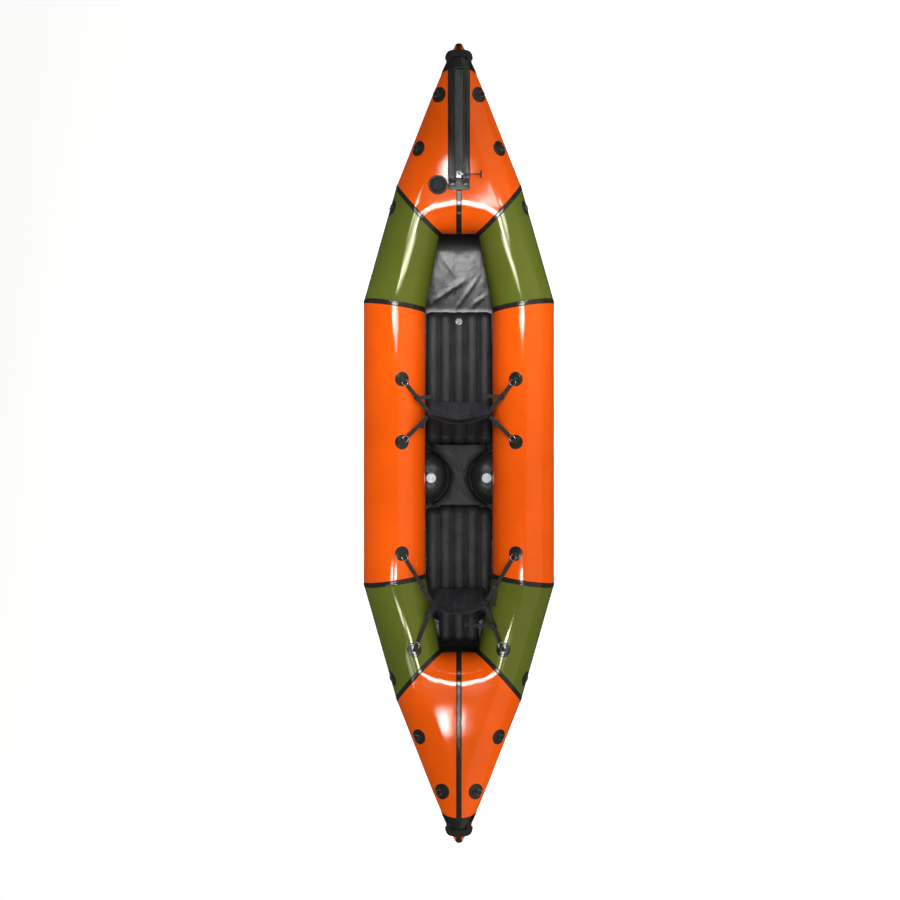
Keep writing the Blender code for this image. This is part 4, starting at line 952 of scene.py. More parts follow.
for joint_name, joint in JOINTS.items():
    if not joint_name.startswith("tie_ring"):
        continue
    ring_name = joint["child"]
    bar = np.array(joint["pos_m"])
    low, up = onto_hull(bar)
    hang = np.cross(-np.array(joint["axis"]), up)
    frame = place(bar, hang, up)
    ring = wire(ring_name + "_wire", ring_path, TIE_WIRE, frame, ring_steel)
    settle(ring, ring_name, "steel", ring_name)
    seat = place(low - frame[:3, 0] * 0.006, hang, up)
    settle(welded_disc(ring_name + "_patch", seat, PATCH_RADIUS), "hull", "black_fabric")
    settle(welded_disc(ring_name + "_pad", seat, PAD_RADIUS, lift=LAYER_THICK), "hull", "black_fabric")
    settle(ring_tab(ring_name + "_tab", frame), "hull", "webbing")

# Seat straps: each backrest hangs from four rings on the tubes, in round welded anchors. The
# straps are 20 mm webbing, taut, each with a ladder-lock buckle and a loose tail.
ANCHOR_RADIUS = 0.0375
ANCHOR_PAD = 0.026
ANCHOR_THICK = 0.0011
ANCHOR_WIRE = 0.0025
ANCHOR_X = TUBE_SPREAD - 0.045
RING_REACH = 0.0265
STRAP_WIDTH = 0.020
STRAP_THICK = 0.0018
STRAP_OUT = 0.91
STRAP_HEIGHT = 0.222
MAT_TOP = 0.065
MAT_BOTTOM = 0.0018
BACK_BEAD = 0.018
BACK_LENGTH = 0.258
BACKRESTS = {  # place along the raft, lean in degrees, half width low down and high up
    "front": (0.200, 23.0, 0.162, 0.162), "rear": (-SIDE_HALF - 0.073, 19.0, 0.137, 0.148),
}
STRAPS = (
    ("front", "fore", 0.329, ANCHOR_X), ("front", "aft", 0.005, ANCHOR_X),
    ("rear", "fore", 0.152 - SIDE_HALF, ANCHOR_X), ("rear", "aft", -SIDE_HALF - 0.341, ANCHOR_X - 0.062),
)


def backrest_place(which, u, depth, height):
    """A place on a backrest in the raft: u across from -1 to 1, depth through it, height up it.

    The ends curve forward with the square of u, and it reclines about its bottom bead.
    """
    y, recline, low, high = BACKRESTS[which]
    tilt = math.radians(recline)
    half = low + (high - low) * np.clip((height - 0.17) / 0.06, 0, 1)
    reach = depth + 0.055 * np.clip(height / BACK_LENGTH, 0, 1) * u * u
    hinge_z = MAT_TOP + sheet_lift(y) + 0.0003 + BACK_BEAD
    return beside(
        u * half, y + reach * math.cos(tilt) - height * math.sin(tilt),
        hinge_z + reach * math.sin(tilt) + height * math.cos(tilt),
    )


strap_ends = {}
for which, way, y, x in STRAPS:
    for side_name, side in SIDES:
        label = f"{which}_{way}_{side_name}"
        corner = backrest_place(which, side * STRAP_OUT, 0.0, STRAP_HEIGHT)
        low, up = onto_hull(np.array([side * x, y, 0.315]))
        frame = place(low, corner - low, up)
        anchor = welded_disc(f"anchor_{label}_disc", frame, ANCHOR_RADIUS, ANCHOR_THICK)
        settle(anchor, "hull", "black_fabric", f"strap_anchor_{label}")
        pad = welded_disc(f"anchor_{label}_pad", frame, ANCHOR_PAD, lift=ANCHOR_THICK)
        settle(pad, "hull", "black_fabric")
        bar = frame.copy()
        bar[:3, 3] = put((0.0130, 0, 0.0061), frame)
        settle(wire(f"anchor_{label}_ring", ring_path, ANCHOR_WIRE, bar, ring_steel), "hull", "steel")
        settle(ring_tab(f"anchor_{label}_tab", bar), "hull", "webbing")
        ring_end = put((RING_REACH, 0, 0), bar)
        away = unit(ring_end - corner)
        start = corner + away * 0.016 + (0, 0, 0.002 if way == "aft" else 0)
        across = unit(np.cross(away, (0, 0, 1)))
        strap_ends[label] = start, ring_end, across
        share = np.linspace(0, 1, 60)[:, None]
        path = start + (ring_end - start) * share + np.sin(np.pi * share) * (0, 0, -0.0015)
        band = strap(f"strap_{label}", path, across, STRAP_WIDTH, STRAP_THICK)
        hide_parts(f"backrest_strap_{label}")
        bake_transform(band)

# Buckles and tails: moulded ladder-locks where a strap is doubled back, and the loose ends of
# the webbing that come out of them towards the seat, drooping a little.
black_plastic = speckled(
    "moulded_black_plastic", (0.012, 4, 0.58, 0.78), 0.5, tone(30, 31, 32), tone(66, 68, 70),
    (0.0012, 2, 0.12, 0.14), (0.0012, 2, 0.00006), specular_ior_level=0.36,
)


def outline(half_x, half_y, corner):
    """A rounded rectangle: four quarter circles of the corner radius, joined by straight runs."""
    count = 9
    turn = np.linspace(0, math.pi / 2, count)
    turns = np.concatenate([turn + k * math.pi / 2 for k in range(4)])
    quarter = np.repeat([(1, 1), (-1, 1), (-1, -1), (1, -1)], count, axis=0)
    return quarter * (half_x - corner, half_y - corner) + corner * beside(np.cos(turns), np.sin(turns))


def moulding(name, half_x, half_y, corner, profile, frame, finish, centre=(0, 0)):
    """A moulded block: its outline at each (inset, height) of the profile, closed below and above."""
    rings = []
    for inset, height in profile:
        ring = outline(half_x - inset, half_y - inset, max(corner - inset, 0.0002)) + centre
        rings.append(np.column_stack([ring, np.full(len(ring), height)]))
    return skin(name, put(np.array(rings), frame), finish, sharp=35)


turn = np.linspace(0.2, 1.4, 4)
corner = 0.003 * beside(np.sin(turn), np.cos(turn))
half_frame = np.concatenate([
    beside(np.linspace(-0.010, 0.010, 12), 0.0125), corner + (0.010, 0.0095),
    beside(0.013, np.linspace(0.0095, -0.0095, 12)), corner[:, ::-1] * (1, -1) + (0.010, -0.0095),
])
frame_path = np.concatenate([half_frame, -half_frame])
TAILS = (  # strap, share of the way from the seat to the ring, tail's run across, along the raft and down
    ("front_fore_left", 0.52, (0.070, 0.004, -0.012)), ("front_fore_right", 0.56, (-0.075, 0.004, -0.012)),
    ("front_aft_left", 0.26, (-0.006, -0.034, -0.010)), ("front_aft_right", 0.26, (0.006, -0.030, -0.010)),
    ("rear_fore_left", 0.30, (0.030, -0.052, -0.018)), ("rear_fore_right", 0.34, (-0.006, -0.100, -0.020)),
    ("rear_aft_left", 0.22, (0.022, 0.020, -0.012)), ("rear_aft_right", 0.54, (-0.150, 0.004, -0.030)),
)
for label, share, run in TAILS:
    start, ring_end, across = strap_ends[label]
    which = label.split("_")[0]
    centre = start + (ring_end - start) * share
    up = unit(np.cross(across, ring_end - start))
    up *= np.sign(up[2])
    lock = place(centre + up * 0.0012, ring_end - start, up)
    pieces = [wire(f"buckle_{label}_frame", frame_path, 0.0020, lock, black_plastic)]
    rim = mm((0.6, -1.2), (0, -0.6), (0, 2.6), (0.6, 3.2), (1.2, 3.4))
    for k, x in enumerate((-0.0035, 0.0045)):
        name = f"buckle_{label}_bar_{k}"
        pieces.append(moulding(name, 0.0021, 0.0120, 0.0018, rim, lock, black_plastic, (x, 0)))
    reach = np.linspace(0, 1, 40)[:, None]
    run = np.array(run)
    path = centre + up * 0.0034 + run * (1, 1, 0) * reach + np.array([0, 0, run[2]]) * reach ** 2
    level = unit(np.cross(run, (0, 0, 1)))
    pieces.append(strap(f"strap_tail_{label}", path, level, STRAP_WIDTH, STRAP_THICK))
    for piece, finish_slot in zip(pieces, ("black_plastic", "black_plastic", "black_plastic", "webbing")):
        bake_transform(piece)

# Cargo zip: an airtight zip welded into the bow deck. Its broad glossy tape has a raised
# chain down the middle with two sealing lips over fine teeth, and ends in a moulded dock.
ZIP_HALF = 0.0565
ZIP_LENGTH = 0.553
CHAIN_HALF = 0.020
TOOTH_PITCH = 0.0032
DECK_TILT = math.atan(0.042 / (TIP_Y - RIDGE_Y))
DECK_UP = (0, -math.sin(DECK_TILT), math.cos(DECK_TILT))


def on_deck(x, y, lift):
    """Points lift above the bow deck over x and y: the cone's levels, then the nearest skin."""
    middle, height = cone_levels(x, y)
    low, normal = onto_hull(beside(x, y, middle + height))
    return low + normal * np.asarray(lift)[..., None]


def deck_strip(name, profile, first, last, step, finish, relief=None):
    """A strip along the deck: its (x, lift) profile on every row, thinned out at both ends."""
    rows = np.arange(first, last + step / 2, step)
    rows = rows[(rows > first + 0.003) & (rows < last - 0.003)]
    close = np.array([0, 0.0003, 0.001, 0.002])
    rows = np.concatenate([first + close, rows, last - close[::-1]])
    y, column = np.meshgrid(rows, np.arange(len(profile)), indexing="ij")
    x = profile[column, 0]
    lift = profile[column, 1] * (0.15 + 0.85 * rounded(np.minimum(y - first, last - y), 0.004))
    if relief is not None:
        lift = lift + relief(x, y) * (profile[column, 1] > 0)
    return skin(name, on_deck(x, y, lift), finish)


def across_profile(line):
    """An upper line of (x, height) for x from 0 out, mirrored, over a flat underside."""
    right = np.concatenate([line, [(line[-1, 0], -0.0004)]])
    upper = np.concatenate([right[::-1] * (-1, 1), right])
    return np.concatenate([upper, [(x, -0.0004) for x in np.linspace(line[-1, 0], -line[-1, 0], 9)[1:-1]]])


zip_rubber = Finish("glossy_zip_tape", specular_ior_level=0.6)
smear = zip_rubber.noise(0.05, 3, stretch=(1, 0.2, 1))
zip_rubber.paint(smear.between(0.35, 0.7).blend(tone(26, 28, 28), tone(40, 43, 44)), smear * 0.12 + 0.08)
ripple = zip_rubber.noise(0.02, 2, stretch=(1, 0.3, 1))
zip_rubber.relief((ripple, 0.0005), (zip_rubber.threads(0.0007), 0.00002))
chain_cloth = Finish("zip_chain_lips", specular_ior_level=0.5)
streak = chain_cloth.noise(0.004, 3, stretch=(1, 0.06, 1))
chain_cloth.paint(streak.between(0.35, 0.65).blend(tone(56, 60, 61), tone(76, 81, 82)), streak * 0.2 + 0.22)
chain_cloth.relief((streak, 0.0004))

tape_line = mm(
    (0, 1.4), (20.5, 1.4), (21.5, 2), (23.5, 2.2), (25.5, 2), (26.5, 1.4), (33, 1.3), (34.5, 1.9),
    (37.5, 2.1), (40.5, 1.9), (42, 1.3), (53, 1.1), (55.7, 0.9), (1000 * ZIP_HALF, 0.2),
)
tape_start, tape_end = ZIP_START - 0.001, ZIP_START + ZIP_LENGTH + 0.010
zip_tape = deck_strip("zip_welded_tape", across_profile(tape_line), tape_start, tape_end, 0.004, zip_rubber)
settle(zip_tape, "hull", "black_fabric", "zip_tape")
chain_line = mm(
    (0.4, 3), (1.2, 4), (2.2, 5.2), (4.5, 5.8), (6.8, 5.4), (8.2, 4.2), (9, 3), (10.5, 3), (11.5, 4.2),
    (13, 4.6), (15, 4.5), (17, 3.8), (18.8, 2.6), (1000 * CHAIN_HALF, 1.2),
)


def teeth(x, y):
    """Ripples of the teeth pressing through the lips: a sine every 3.2 mm, over a bell across."""
    return 0.00022 * np.sin(math.tau * y / TOOTH_PITCH) * np.exp(-((np.abs(x) - 0.0052) / 0.0022) ** 2)


chain_start, chain_end = ZIP_START + 0.0003, ZIP_START + ZIP_LENGTH - 0.006
chain = deck_strip("zip_lips", across_profile(chain_line), chain_start, chain_end, 0.0008, chain_cloth, teeth)
settle(chain, "hull", "black_fabric", "zip_chain")


def turning(name, profile, frame, finish, count=96, ribs=0, depth=0.0):
    """A turned part: (radius, height) profile about the frame's z; ribs cut depth into its rim."""
    turn = np.linspace(0, math.tau, count, endpoint=False)
    wave = 0.5 + 0.5 * np.tanh(3 * np.cos(ribs * turn))
    outer = profile[:, 0] > profile[:, 0].max() * 0.93
    reach = profile[:, :1] - depth * outer[:, None] * (1 - wave)[None]
    grid = beside(reach * np.cos(turn), reach * np.sin(turn), profile[:, 1:])
    return skin(name, put(grid, frame), finish, sharp=40)


DOCK_TOP_MM = 4.6
dock_low, _ = onto_hull(np.array([0, ZIP_START - 0.0003 - DOCK_LENGTH / 2, 0.362]))
dock_frame = place(dock_low, (1, 0, 0), DECK_UP)
dock_rim = mm((4, 0), (0, 0.4), (0, 3), (1.2, 4.4), (3, 4.8), (12, 5))
dock = moulding("zip_dock_base", ZIP_HALF - 0.0005, 0.0285, 0.006, dock_rim, dock_frame, black_plastic)
settle(dock, "hull", "black_rubber", "zip_dock")
dock_ribs = (  # middle, half sizes and height of each rib on the dock, in millimetres
    (0, 24.5, 52, 2.6, 8.5), (0, 17.5, 52, 1.6, 7.5), (-33, 3, 20, 11.5, 7.2), (33, 3, 20, 11.5, 7.2),
    (-15.5, 4, 2.6, 13.5, 10.8), (15.5, 4, 2.6, 13.5, 10.8), (0, -14.5, 46, 2.2, 9.2), (0, -21.5, 50, 1.8, 8),
    (-46, 3, 1.8, 20, 9.4), (46, 3, 1.8, 20, 9.4),
)
for k, (x, y, half_x, half_y, high) in enumerate(dock_ribs):
    rim = mm((0, DOCK_TOP_MM), (0, high - 1), (0.4, high - 0.3), (1.1, high))
    middle, (half_x, half_y) = mm(x, y), mm(half_x, half_y)
    bar = moulding(f"zip_dock_rib_{k}", half_x, half_y, 0.0015, rim, dock_frame, black_plastic, middle)
    settle(bar, "hull", "black_rubber")

RIVETS_Y = (1.885, 1.870)
dome = mm((0.5, 4), (4, 4), (4.2, 6.2), (3.4, 7.2), (1.8, 7.7), (0.5, 7.8))
for k, y in enumerate(RIVETS_Y):
    low, up = onto_hull(np.array([0.010, y, 0.39]))
    rivet = turning(f"zip_end_rivet_{k}", dome, place(low, (1, 0, 0), up), black_plastic, count=32)
    settle(rivet, "hull", "black_plastic")

# Zip slider and pull: a cast metal slider with a hump and side wings on the chain, and a
# moulded T-handle, clipped to the slider's pin, that swings over on it.
cast_metal = Finish("cast_slider_metal", metallic=0.9)
pits = cast_metal.noise(0.0016, 3)
worn = cast_metal.noise(0.006, 3) * 0.2 + 0.18
cast_metal.paint(pits.blend(tone(176, 178, 180), tone(226, 228, 230)), worn)
cast_metal.relief((pits, 0.00006))
pin = np.array(JOINTS["zip_pull_swing"]["pos_m"])
slider_low, slider_high = (np.array(corner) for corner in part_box("zip_slider"))
slider_base = (0, (slider_low[1] + slider_high[1]) / 2, pin[2] - 0.0133)
slider_frame = place(slider_base, (1, 0, 0), DECK_UP)
rim = mm((1, 0), (0, 0.8), (0, 4), (1, 5.2), (4, 5.8))
body = moulding("zip_slider_body", 0.0138, 0.0168, 0.005, rim, slider_frame, cast_metal)
settle(body, "zip_slider", "steel", "zip_slider")
rim = mm((0, 5.2), (0, 7.8), (0.6, 9), (2.2, 9.8))
bridge = moulding("zip_slider_bridge", 0.0062, 0.0125, 0.004, rim, slider_frame, cast_metal)
settle(bridge, "zip_slider", "steel")
rim = mm((0, 3), (0, 6.2), (0.8, 7.2), (2, 7.4))
for side_name, side in SIDES:
    name, middle = f"zip_slider_wing_{side_name}", (side * 0.0105, 0)
    wing = moulding(name, 0.0022, 0.0120, 0.002, rim, slider_frame, cast_metal, middle)
    settle(wing, "zip_slider", "steel")
PULL_LENGTH = 0.1135
pull_frame = place(pin, (1, 0, 0), DECK_UP)
turn = np.linspace(0, math.tau, 20, endpoint=False)


def pull_part(name, x, y, fat, finish, slot, *nodes):
    """A rod of the pull: rows round it at x and y, rising by fat times the sine."""
    grid = beside(x, y, fat * np.sin(turn))
    settle(skin(name, put(grid, pull_frame), finish), "zip_pull", slot, *nodes)


share = np.linspace(0, 1, 50)[:, None]
fat_at, fat_is = [0, 0.03, 0.10, 0.14, 0.5, 0.86, 0.92, 1], mm(1.4, 2.7, 2.8, 2, 2.1, 2.1, 2.7, 2.8)
fat = np.interp(share, fat_at, fat_is)
x = -0.0024 + share * PULL_LENGTH
pull_part("zip_pull_stem", x, fat * 1.35 * np.cos(turn), fat, black_plastic, "black_plastic", "zip_pull")
share = np.linspace(0, 1, 14)[:, None]
fat = 0.0034 * rounded(np.minimum(share, 1 - share), 0.12) + 0.0006
pull_part("zip_pull_clip", 0.0035 + share * 0.0185, fat * 1.45 * np.cos(turn), fat, cast_metal, "steel")
length = np.sin(np.linspace(-1, 1, 34) * math.pi / 2)[:, None]
fat = 0.0029 * np.sqrt(np.clip(1 - np.abs(length) ** 5, 0.01, 1)) * (1 - 0.14 * np.cos(length * 2) ** 4)
x = 0.1128 + fat * 1.6 * np.cos(turn)
pull_part("zip_pull_bar", x, length * 0.0205, fat, black_plastic, "black_plastic")

# Main valve: a black rubber flange welded in the deck, a screwed collar and a cap with a
# knurled rim, ring grooves and a raised finger bar; it locks by a quarter turn.
valve_rubber = speckled(
    "matt_valve_rubber", (0.010, 4, 0.35, 0.7), 1, tone(28, 31, 34), tone(44, 48, 52),
    (0.002, 2, 0.12, 0.30), (0.0009, 2, 0.00006), specular_ior_level=0.22,
)
VALVE_X = -0.107
VALVE_Y = WALL_Y + 0.225
valve_low, _ = onto_hull(np.array([VALVE_X, VALVE_Y, 0.35]))
valve_frame = place(valve_low, (1, 0, 0), JOINTS["main_valve_cap_turn"]["axis"])
flange_line = mm(
    (0.5, -0.2), (30, -0.2), (49, 0), (49.5, 1.2), (48.8, 2.8), (46.8, 3.7), (44.5, 3.9), (40.5, 2.9),
    (38.5, 2.9), (36.5, 4), (35, 4.6), (34.2, 6), (33.8, 9.8), (32.8, 10.6), (31.1, 10.7), (30.5, 9.8),
    (0.5, 9.6),
)
flange = turning("valve_flange_and_collar", flange_line, valve_frame, valve_rubber)
settle(flange, "hull", "black_rubber", "main_valve_body")
lid_line = mm(
    (0.5, 11), (28.8, 11), (29.8, 11.4), (30, 13), (30, 19), (29.6, 20.6), (28.4, 21.8), (26.6, 22.2),
    (25, 21.9), (24, 20.6), (23.2, 19.8), (20, 19.6), (19, 20.3), (17.6, 20.4), (16.6, 19.7), (13, 19.4),
    (12, 20.2), (10.6, 20.3), (9.6, 19.6), (0.5, 19.4),
)
lid = turning("valve_cap_disc", lid_line, valve_frame, valve_rubber, count=216, ribs=36, depth=0.0009)
settle(lid, "main_valve_cap", "black_rubber", "main_valve_cap")
rim = mm((0, 19), (0, 21.2), (0.6, 22.2), (1.8, 22.7))
grip_frame = valve_frame @ np.array(Matrix.Rotation(math.radians(35), 4, "Z"))
grip = moulding("valve_cap_grip", 0.0205, 0.0030, 0.0029, rim, grip_frame, valve_rubber)
settle(grip, "main_valve_cap", "black_rubber")
hub_line = mm((0.5, 19), (6.2, 19), (6.2, 22.4), (5.4, 23.1), (4, 22.9), (3.4, 22.2), (0.5, 22.1))
hub = turning("valve_cap_hub", hub_line, valve_frame, black_plastic, count=64)
settle(hub, "main_valve_cap", "black_rubber")

# Small valve caps: the mat's grey-white push-and-turn cap, and a white knurled cap on each
# bolster over a black ring, with a dished top and six finger ribs.
white_plastic = speckled(
    "white_cap_plastic", (0.006, 4, 0.5, 0.8), 0.45, tone(200, 204, 216), tone(150, 152, 158),
    (0.003, 2, 0.14, 0.28), (0.0010, 2, 0.00005), subsurface_weight=0.08, specular_ior_level=0.5,
)
silver_plastic = speckled(
    "silver_grey_cap_plastic", (0.005, 4, 0.35, 0.7), 1, tone(64, 66, 68), tone(198, 200, 202),
    (0.003, 2, 0.14, 0.24), (0.0010, 2, 0.00005), metallic=0.35, specular_ior_level=0.5,
)
CAP_LINE = np.array([  # share of the radius, share of the height
    (1, 0.70), (0.97, 0.86), (0.90, 0.97), (0.82, 1), (0.76, 0.98), (0.72, 0.84), (0.68, 0.78), (0.32, 0.74),
    (0.28, 0.84), (0.20, 0.88),
])


def small_cap(label, radius, high, ribs, node, finish):
    """Base ring on the mat or bolster; cap disc with a knurled rim; six ribs on its dish."""
    joint = JOINTS[f"{node}_turn"]
    frame = place(joint["pos_m"], (1, 0, 0), joint["axis"])
    lip, wide, hub = radius * 1.10, radius * 1.16, 0.0005
    base = np.array([
        (hub, -0.0030), (lip, -0.0030), (wide, -0.0022), (wide, -0.0006), (lip, 0.0001), (hub, 0.0001),
    ])
    settle(turning(f"{label}_seat", base, frame, valve_rubber), "hull", "black_rubber")
    under = [(hub, 0.0004), (radius * 0.97, 0.0004), (radius, 0.0012)]
    line = np.concatenate([under, CAP_LINE * (radius, high), [(hub, high * 0.88)]])
    disc = turning(f"{label}_disc", line, frame, finish, count=ribs * 12, ribs=ribs, depth=radius * 0.19)
    settle(disc, node, "white_plastic", node)
    rim = [(0, high * 0.70), (0, high * 0.84), (0.0004, high * 0.90), (0.0010, high * 0.92)]
    for k in range(6):
        spoke = frame @ np.array(Matrix.Rotation(k * math.pi / 3, 4, "Z"))
        middle = (radius * 0.50, 0)
        rib = moulding(f"{label}_rib_{k}", radius * 0.19, 0.0012, 0.0011, rim, spoke, finish, middle)
        settle(rib, node, "white_plastic")


small_cap("mat_valve", 0.0185, 0.010, 12, "mat_valve_cap", silver_plastic)
for side_name, side in SIDES:
    node = f"bolster_valve_cap_{side_name}"
    small_cap(f"bolster_valve_{side_name}", 0.0275, 0.012, 14, node, white_plastic)

# Floor mats: the inflated seat floor in front and rear parts of five lengthwise channels,
# of dark coated cloth whose channel ends bulge in scallops, and a smooth link between them.
MAT_PITCH = 0.070
MAT_END = 0.045
MAT_REST = 0.0016
MAT_GROOVE = 0.012
BOLSTER_Y = -0.1855
BOLSTER_HALF = 0.1595
BOLSTER_HEIGHT = 0.118


def mat_cloth_finish(name, base, top, rough):
    """Satin coated cloth: fine weave, cloudy tone, pale dusty specks and a soft uneven gloss."""
    cloth = Finish(name, specular_ior_level=0.27)
    clouds = cloth.noise(0.09, 3)
    dust = cloth.noise(0.012, 4).between(0.5, 0.8)
    colour = clouds.between(0.3, 0.7).blend(base, top)
    cloth.paint((dust * 0.3).blend(colour, shade(top, 1.6)), cloth.noise(0.03, 3) * 0.2 + rough)
    return cloth.relief((cloth.noise(0.02, 3), 0.0010), (cloth.threads(0.0009), 0.00005))


mat_cloth = mat_cloth_finish("dark_mat_cloth", tone(27, 28, 31), tone(38, 39, 42), 0.36)


def mat_piece(name, ends, seed):
    """A channelled mat: half-round crowns across, rounded ends, small ripples in the grooves.

    Each end is (where the outer channels stop, where the inner three do, how far the
    crowns bulge past the grooves). Each row runs over the top and back underneath.
    """
    step = 22
    column = np.arange(5 * step + 1)
    u = (column % step) / step * 2 - 1
    u = np.where(column == 5 * step, 1, u)
    x = (column / step - 2.5) * MAT_PITCH
    rise = (1 - u * u) ** 0.8
    outer = np.abs(x) > MAT_PITCH * 1.5 + 1e-6
    front, back = (np.where(outer, wing, middle) - bulge * (1 - rise) for wing, middle, bulge in ends)
    share = np.sin(np.linspace(0, math.pi / 2, 15))[:, None] ** 2
    run = np.linspace(0, 1, 90)[1:-1, None]
    between = (front - MAT_END) * (1 - run) + (back + MAT_END) * run
    rows = np.concatenate([front - MAT_END * share, between, back + MAT_END * share[::-1]])
    close = 0.25 + 0.75 * rounded(share, 1)
    swell = np.concatenate([close, np.ones((88, 1)), close[::-1]])
    low = MAT_BOTTOM + sheet_lift(rows) + MAT_REST
    channel = np.floor(x / MAT_PITCH + 9)
    ripple = 0.0007 * (1 - rise) * np.sin(rows * 240 + 2 * np.sin(rows * 37 + seed) + channel * 2)
    crown = 0.0006 * rise * (-1 + np.sin(rows * 31 + channel * 1.7 + seed))
    height = MAT_TOP - MAT_BOTTOM - MAT_REST - MAT_GROOVE * (1 - rise)
    top = beside(x, rows, low + height * swell + (ripple + crown) * swell)
    under = beside(x * 0.985, rows, low)[:, ::-1]
    return skin(name, np.concatenate([top, under[:, 1:-1]], 1), mat_cloth)


MAT_ENDS = {
    "front": ((SIDE_HALF - 0.013, SIDE_HALF - 0.013, 0.012), (-0.005, -0.005, -0.010)),
    "rear": (
        (BOLSTER_Y - BOLSTER_HALF - 0.006, -0.336, 0.010), (-SIDE_HALF - 0.211, -SIDE_HALF - 0.350, -0.012),
    ),
}
for which, seed in (("front", 1), ("rear", 4)):
    mat = mat_piece(f"{which}_mat_cloth", MAT_ENDS[which], seed)
    settle(mat, "hull", "black_fabric", f"floor_mat_{which}")


def bolster_inner(y):
    """How near the middle a bolster reaches: an ellipse along the raft."""
    v = np.clip(np.abs(y - BOLSTER_Y) / BOLSTER_HALF, 0, 1)
    return 0.063 + (0.250 - 0.063) * (1 - np.sqrt(1 - v * v))


LINK_FRONT = -0.0056
LINK_BACK = -0.3354
LINK_TOP = 0.046
LINK_EDGE = 0.012
y, share = np.meshgrid(np.linspace(LINK_FRONT, LINK_BACK, 70), np.linspace(-1, 1, 61), indexing="ij")
half = np.minimum(0.150, bolster_inner(y) - 0.012)
ends = rounded(np.minimum(LINK_FRONT - y, y - LINK_BACK), 0.012)
bent = y + 0.155 + 0.006 * np.sin(4 * share) - 0.004 * share ** 2
crease = 0.0035 * np.exp(-(bent / 0.004) ** 2) + 0.0008 * np.sin(60 * y + 9 * share)
crease -= 0.0035 * np.exp(-(half * share / 0.028) ** 2)
round_over = rounded(1 - np.abs(share), 0.6) * (0.8 + 0.2 * ends)
top = MAT_BOTTOM + LINK_EDGE + (LINK_TOP - MAT_BOTTOM - LINK_EDGE) * round_over - crease
under = beside(half * share * 0.97, y, MAT_BOTTOM + 0.0012)[:, ::-1]
link = skin("mat_link_cloth", np.concatenate([beside(half * share, y, top), under], 1), mat_cloth)
settle(link, "hull", "black_fabric", "floor_mat_link")

# Bolsters: two black inflated cushions, pressed between the side tubes and the mat's link.
# Each has small ripples over its upper part.
bolster_cloth = mat_cloth_finish("bolster_coated_cloth", tone(22, 25, 25), tone(32, 35, 36), 0.22)
TUBE_GAP = 0.0018
keys = np.array([  # share of the room beside the tube, share of the depth
    (0.30, 0), (0.06, 0.14), (0, 0.38), (0.05, 0.66), (0.20, 0.88), (0.45, 0.985), (0.80, 1),
])
flank = np.array([0.97, 0.80, 0.60, 0.40, 0.22, 0.10, 0.02])


def tube_flank(z):
    """How far out a side tube's inner flank is at height z, less a small gap: a circle's edge."""
    return TUBE_SPREAD - np.sqrt(np.maximum((TUBE_RADIUS + TUBE_GAP) ** 2 - (z - TUBE_Z) ** 2, 0))


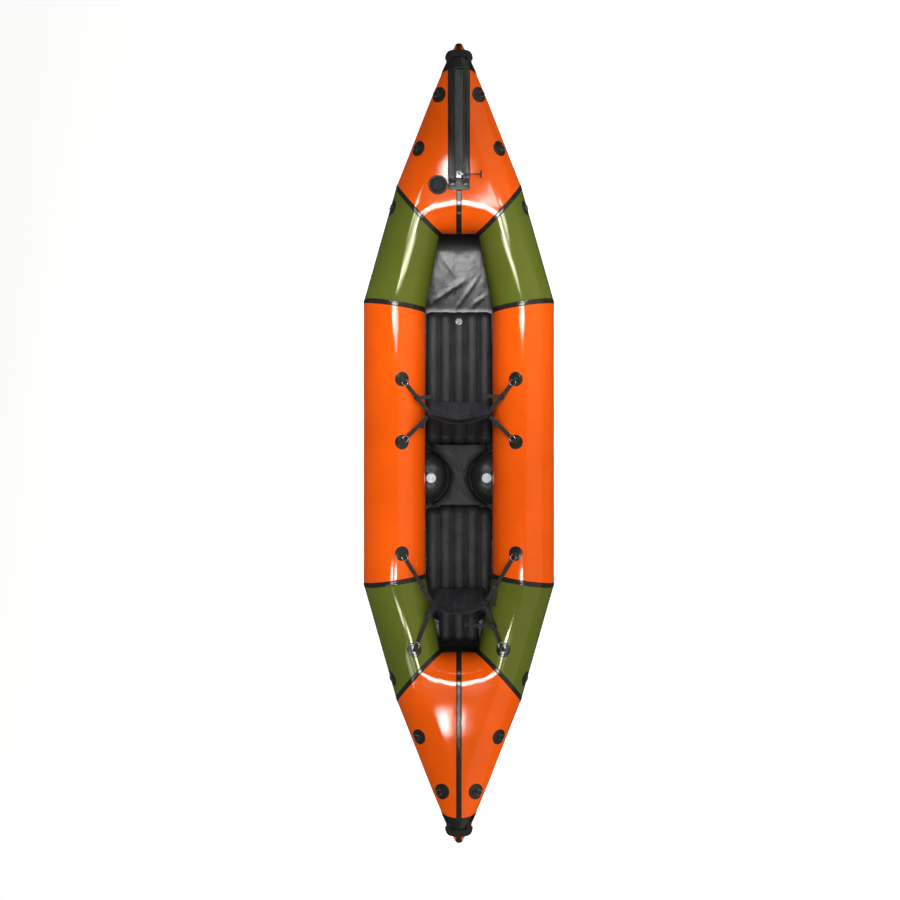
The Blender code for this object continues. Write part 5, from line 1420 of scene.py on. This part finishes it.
for side_name, side in SIDES:
    along = np.sin(np.pi / 2 * np.sin(np.linspace(-1, 1, 90) * np.pi / 2))[:, None]
    y = BOLSTER_Y + BOLSTER_HALF * 0.992 * along
    inner = bolster_inner(y)
    swell = np.sqrt(np.clip(1 - along ** 2, 0.0, 1))
    top = MAT_BOTTOM + 0.020 + (BOLSTER_HEIGHT - MAT_BOTTOM - 0.020) * swell
    low = MAT_BOTTOM + MAT_REST
    depth = top - low
    room = np.maximum(tube_flank(top) - inner, 0.004)
    section_x = np.concatenate([inner + room * keys[:, 0], tube_flank(low + depth * flank) - 0.0002], 1)
    section_z = low + depth * np.concatenate([keys[:, 1], flank])
    sections = beside(section_x, section_z)
    x, z = np.moveaxis(np.array([knots(section, 112, closed=True) for section in sections]), -1, 0)
    x = np.minimum(x, tube_flank(z) - 0.0002)
    z = np.clip(z, low, None)
    bearing = np.arctan2(z - 0.05, x - inner - room / 2)
    ripple = 0.0005 * np.sin(26 * along + 5 * np.sin(7 * bearing)) * (z > 0.04)
    grid = beside(side * x, y, z + ripple)
    cushion = skin(f"bolster_{side_name}_cushion", grid, bolster_cloth)
    settle(cushion, "hull", "black_fabric", f"bolster_{side_name}")

# Backrests: inflated seat backs of black coated cloth with six upright channels, welded flat
# at the top edge, leaning back in their four straps.
# Painted light: the backrests' cloth is a lighter copy of the mats' cloth, painted lighter to make up for the
# shade on their reclined faces.
painted_lighter_back_cloth = mat_cloth_finish("backrest_cloth_painted_lighter", tone(53, 57, 62), tone(68, 73, 79), 0.36)
BACK_THICK = 0.020
levels = np.array([  # height, share of the thickness
    (-0.018, 0.12), (-0.0155, 0.46), (-0.011, 0.72), (-0.005, 0.87), (0.005, 0.93), (0.045, 1.0),
    (0.115, 1.0), (0.185, 0.97), (0.228, 0.70), (0.244, 0.30), (0.250, 0.10), (BACK_LENGTH, 0.06),
])
level_curve = knots(levels, 100)
even = np.linspace(-1, 1, 121)
share = np.sin(even * np.pi / 2) * 0.35 + even * 0.65
height, u = np.meshgrid(level_curve[:, 0], share, indexing="ij")
swell = np.maximum(level_curve[:, 1:], 0.06)
rib = np.abs(np.sin(np.pi * 3 * (u + 1)))
fade = np.clip((0.232 - height) / 0.03, 0, 1) * np.clip(height / 0.03, 0, 1)
rib = 1 - (1 - rib ** 0.8) * fade
thick = BACK_THICK * swell * (0.12 + 0.88 * rounded(1 - np.abs(u), 0.16))
crumple = 0.0005 * np.sin(height * 260 + 3 * np.sin(9 * u)) * (1 - rib)
crumple = (crumple + 0.0004 * np.sin(height * 60 + 11 * u)) * np.clip((height - 0.01) / 0.03, 0, 1)
for which in BACKRESTS:
    front = backrest_place(which, u, thick * (0.70 + 0.30 * rib) + crumple * swell, height)
    back = backrest_place(which, u, -thick * (0.86 + 0.14 * rib) + crumple * swell, height)[:, ::-1]
    pad = skin(f"backrest_{which}_pad", np.concatenate([front, back[:, 1:-1]], 1), painted_lighter_back_cloth)
    settle(pad, f"backrest_{which}", "black_fabric", f"backrest_{which}")
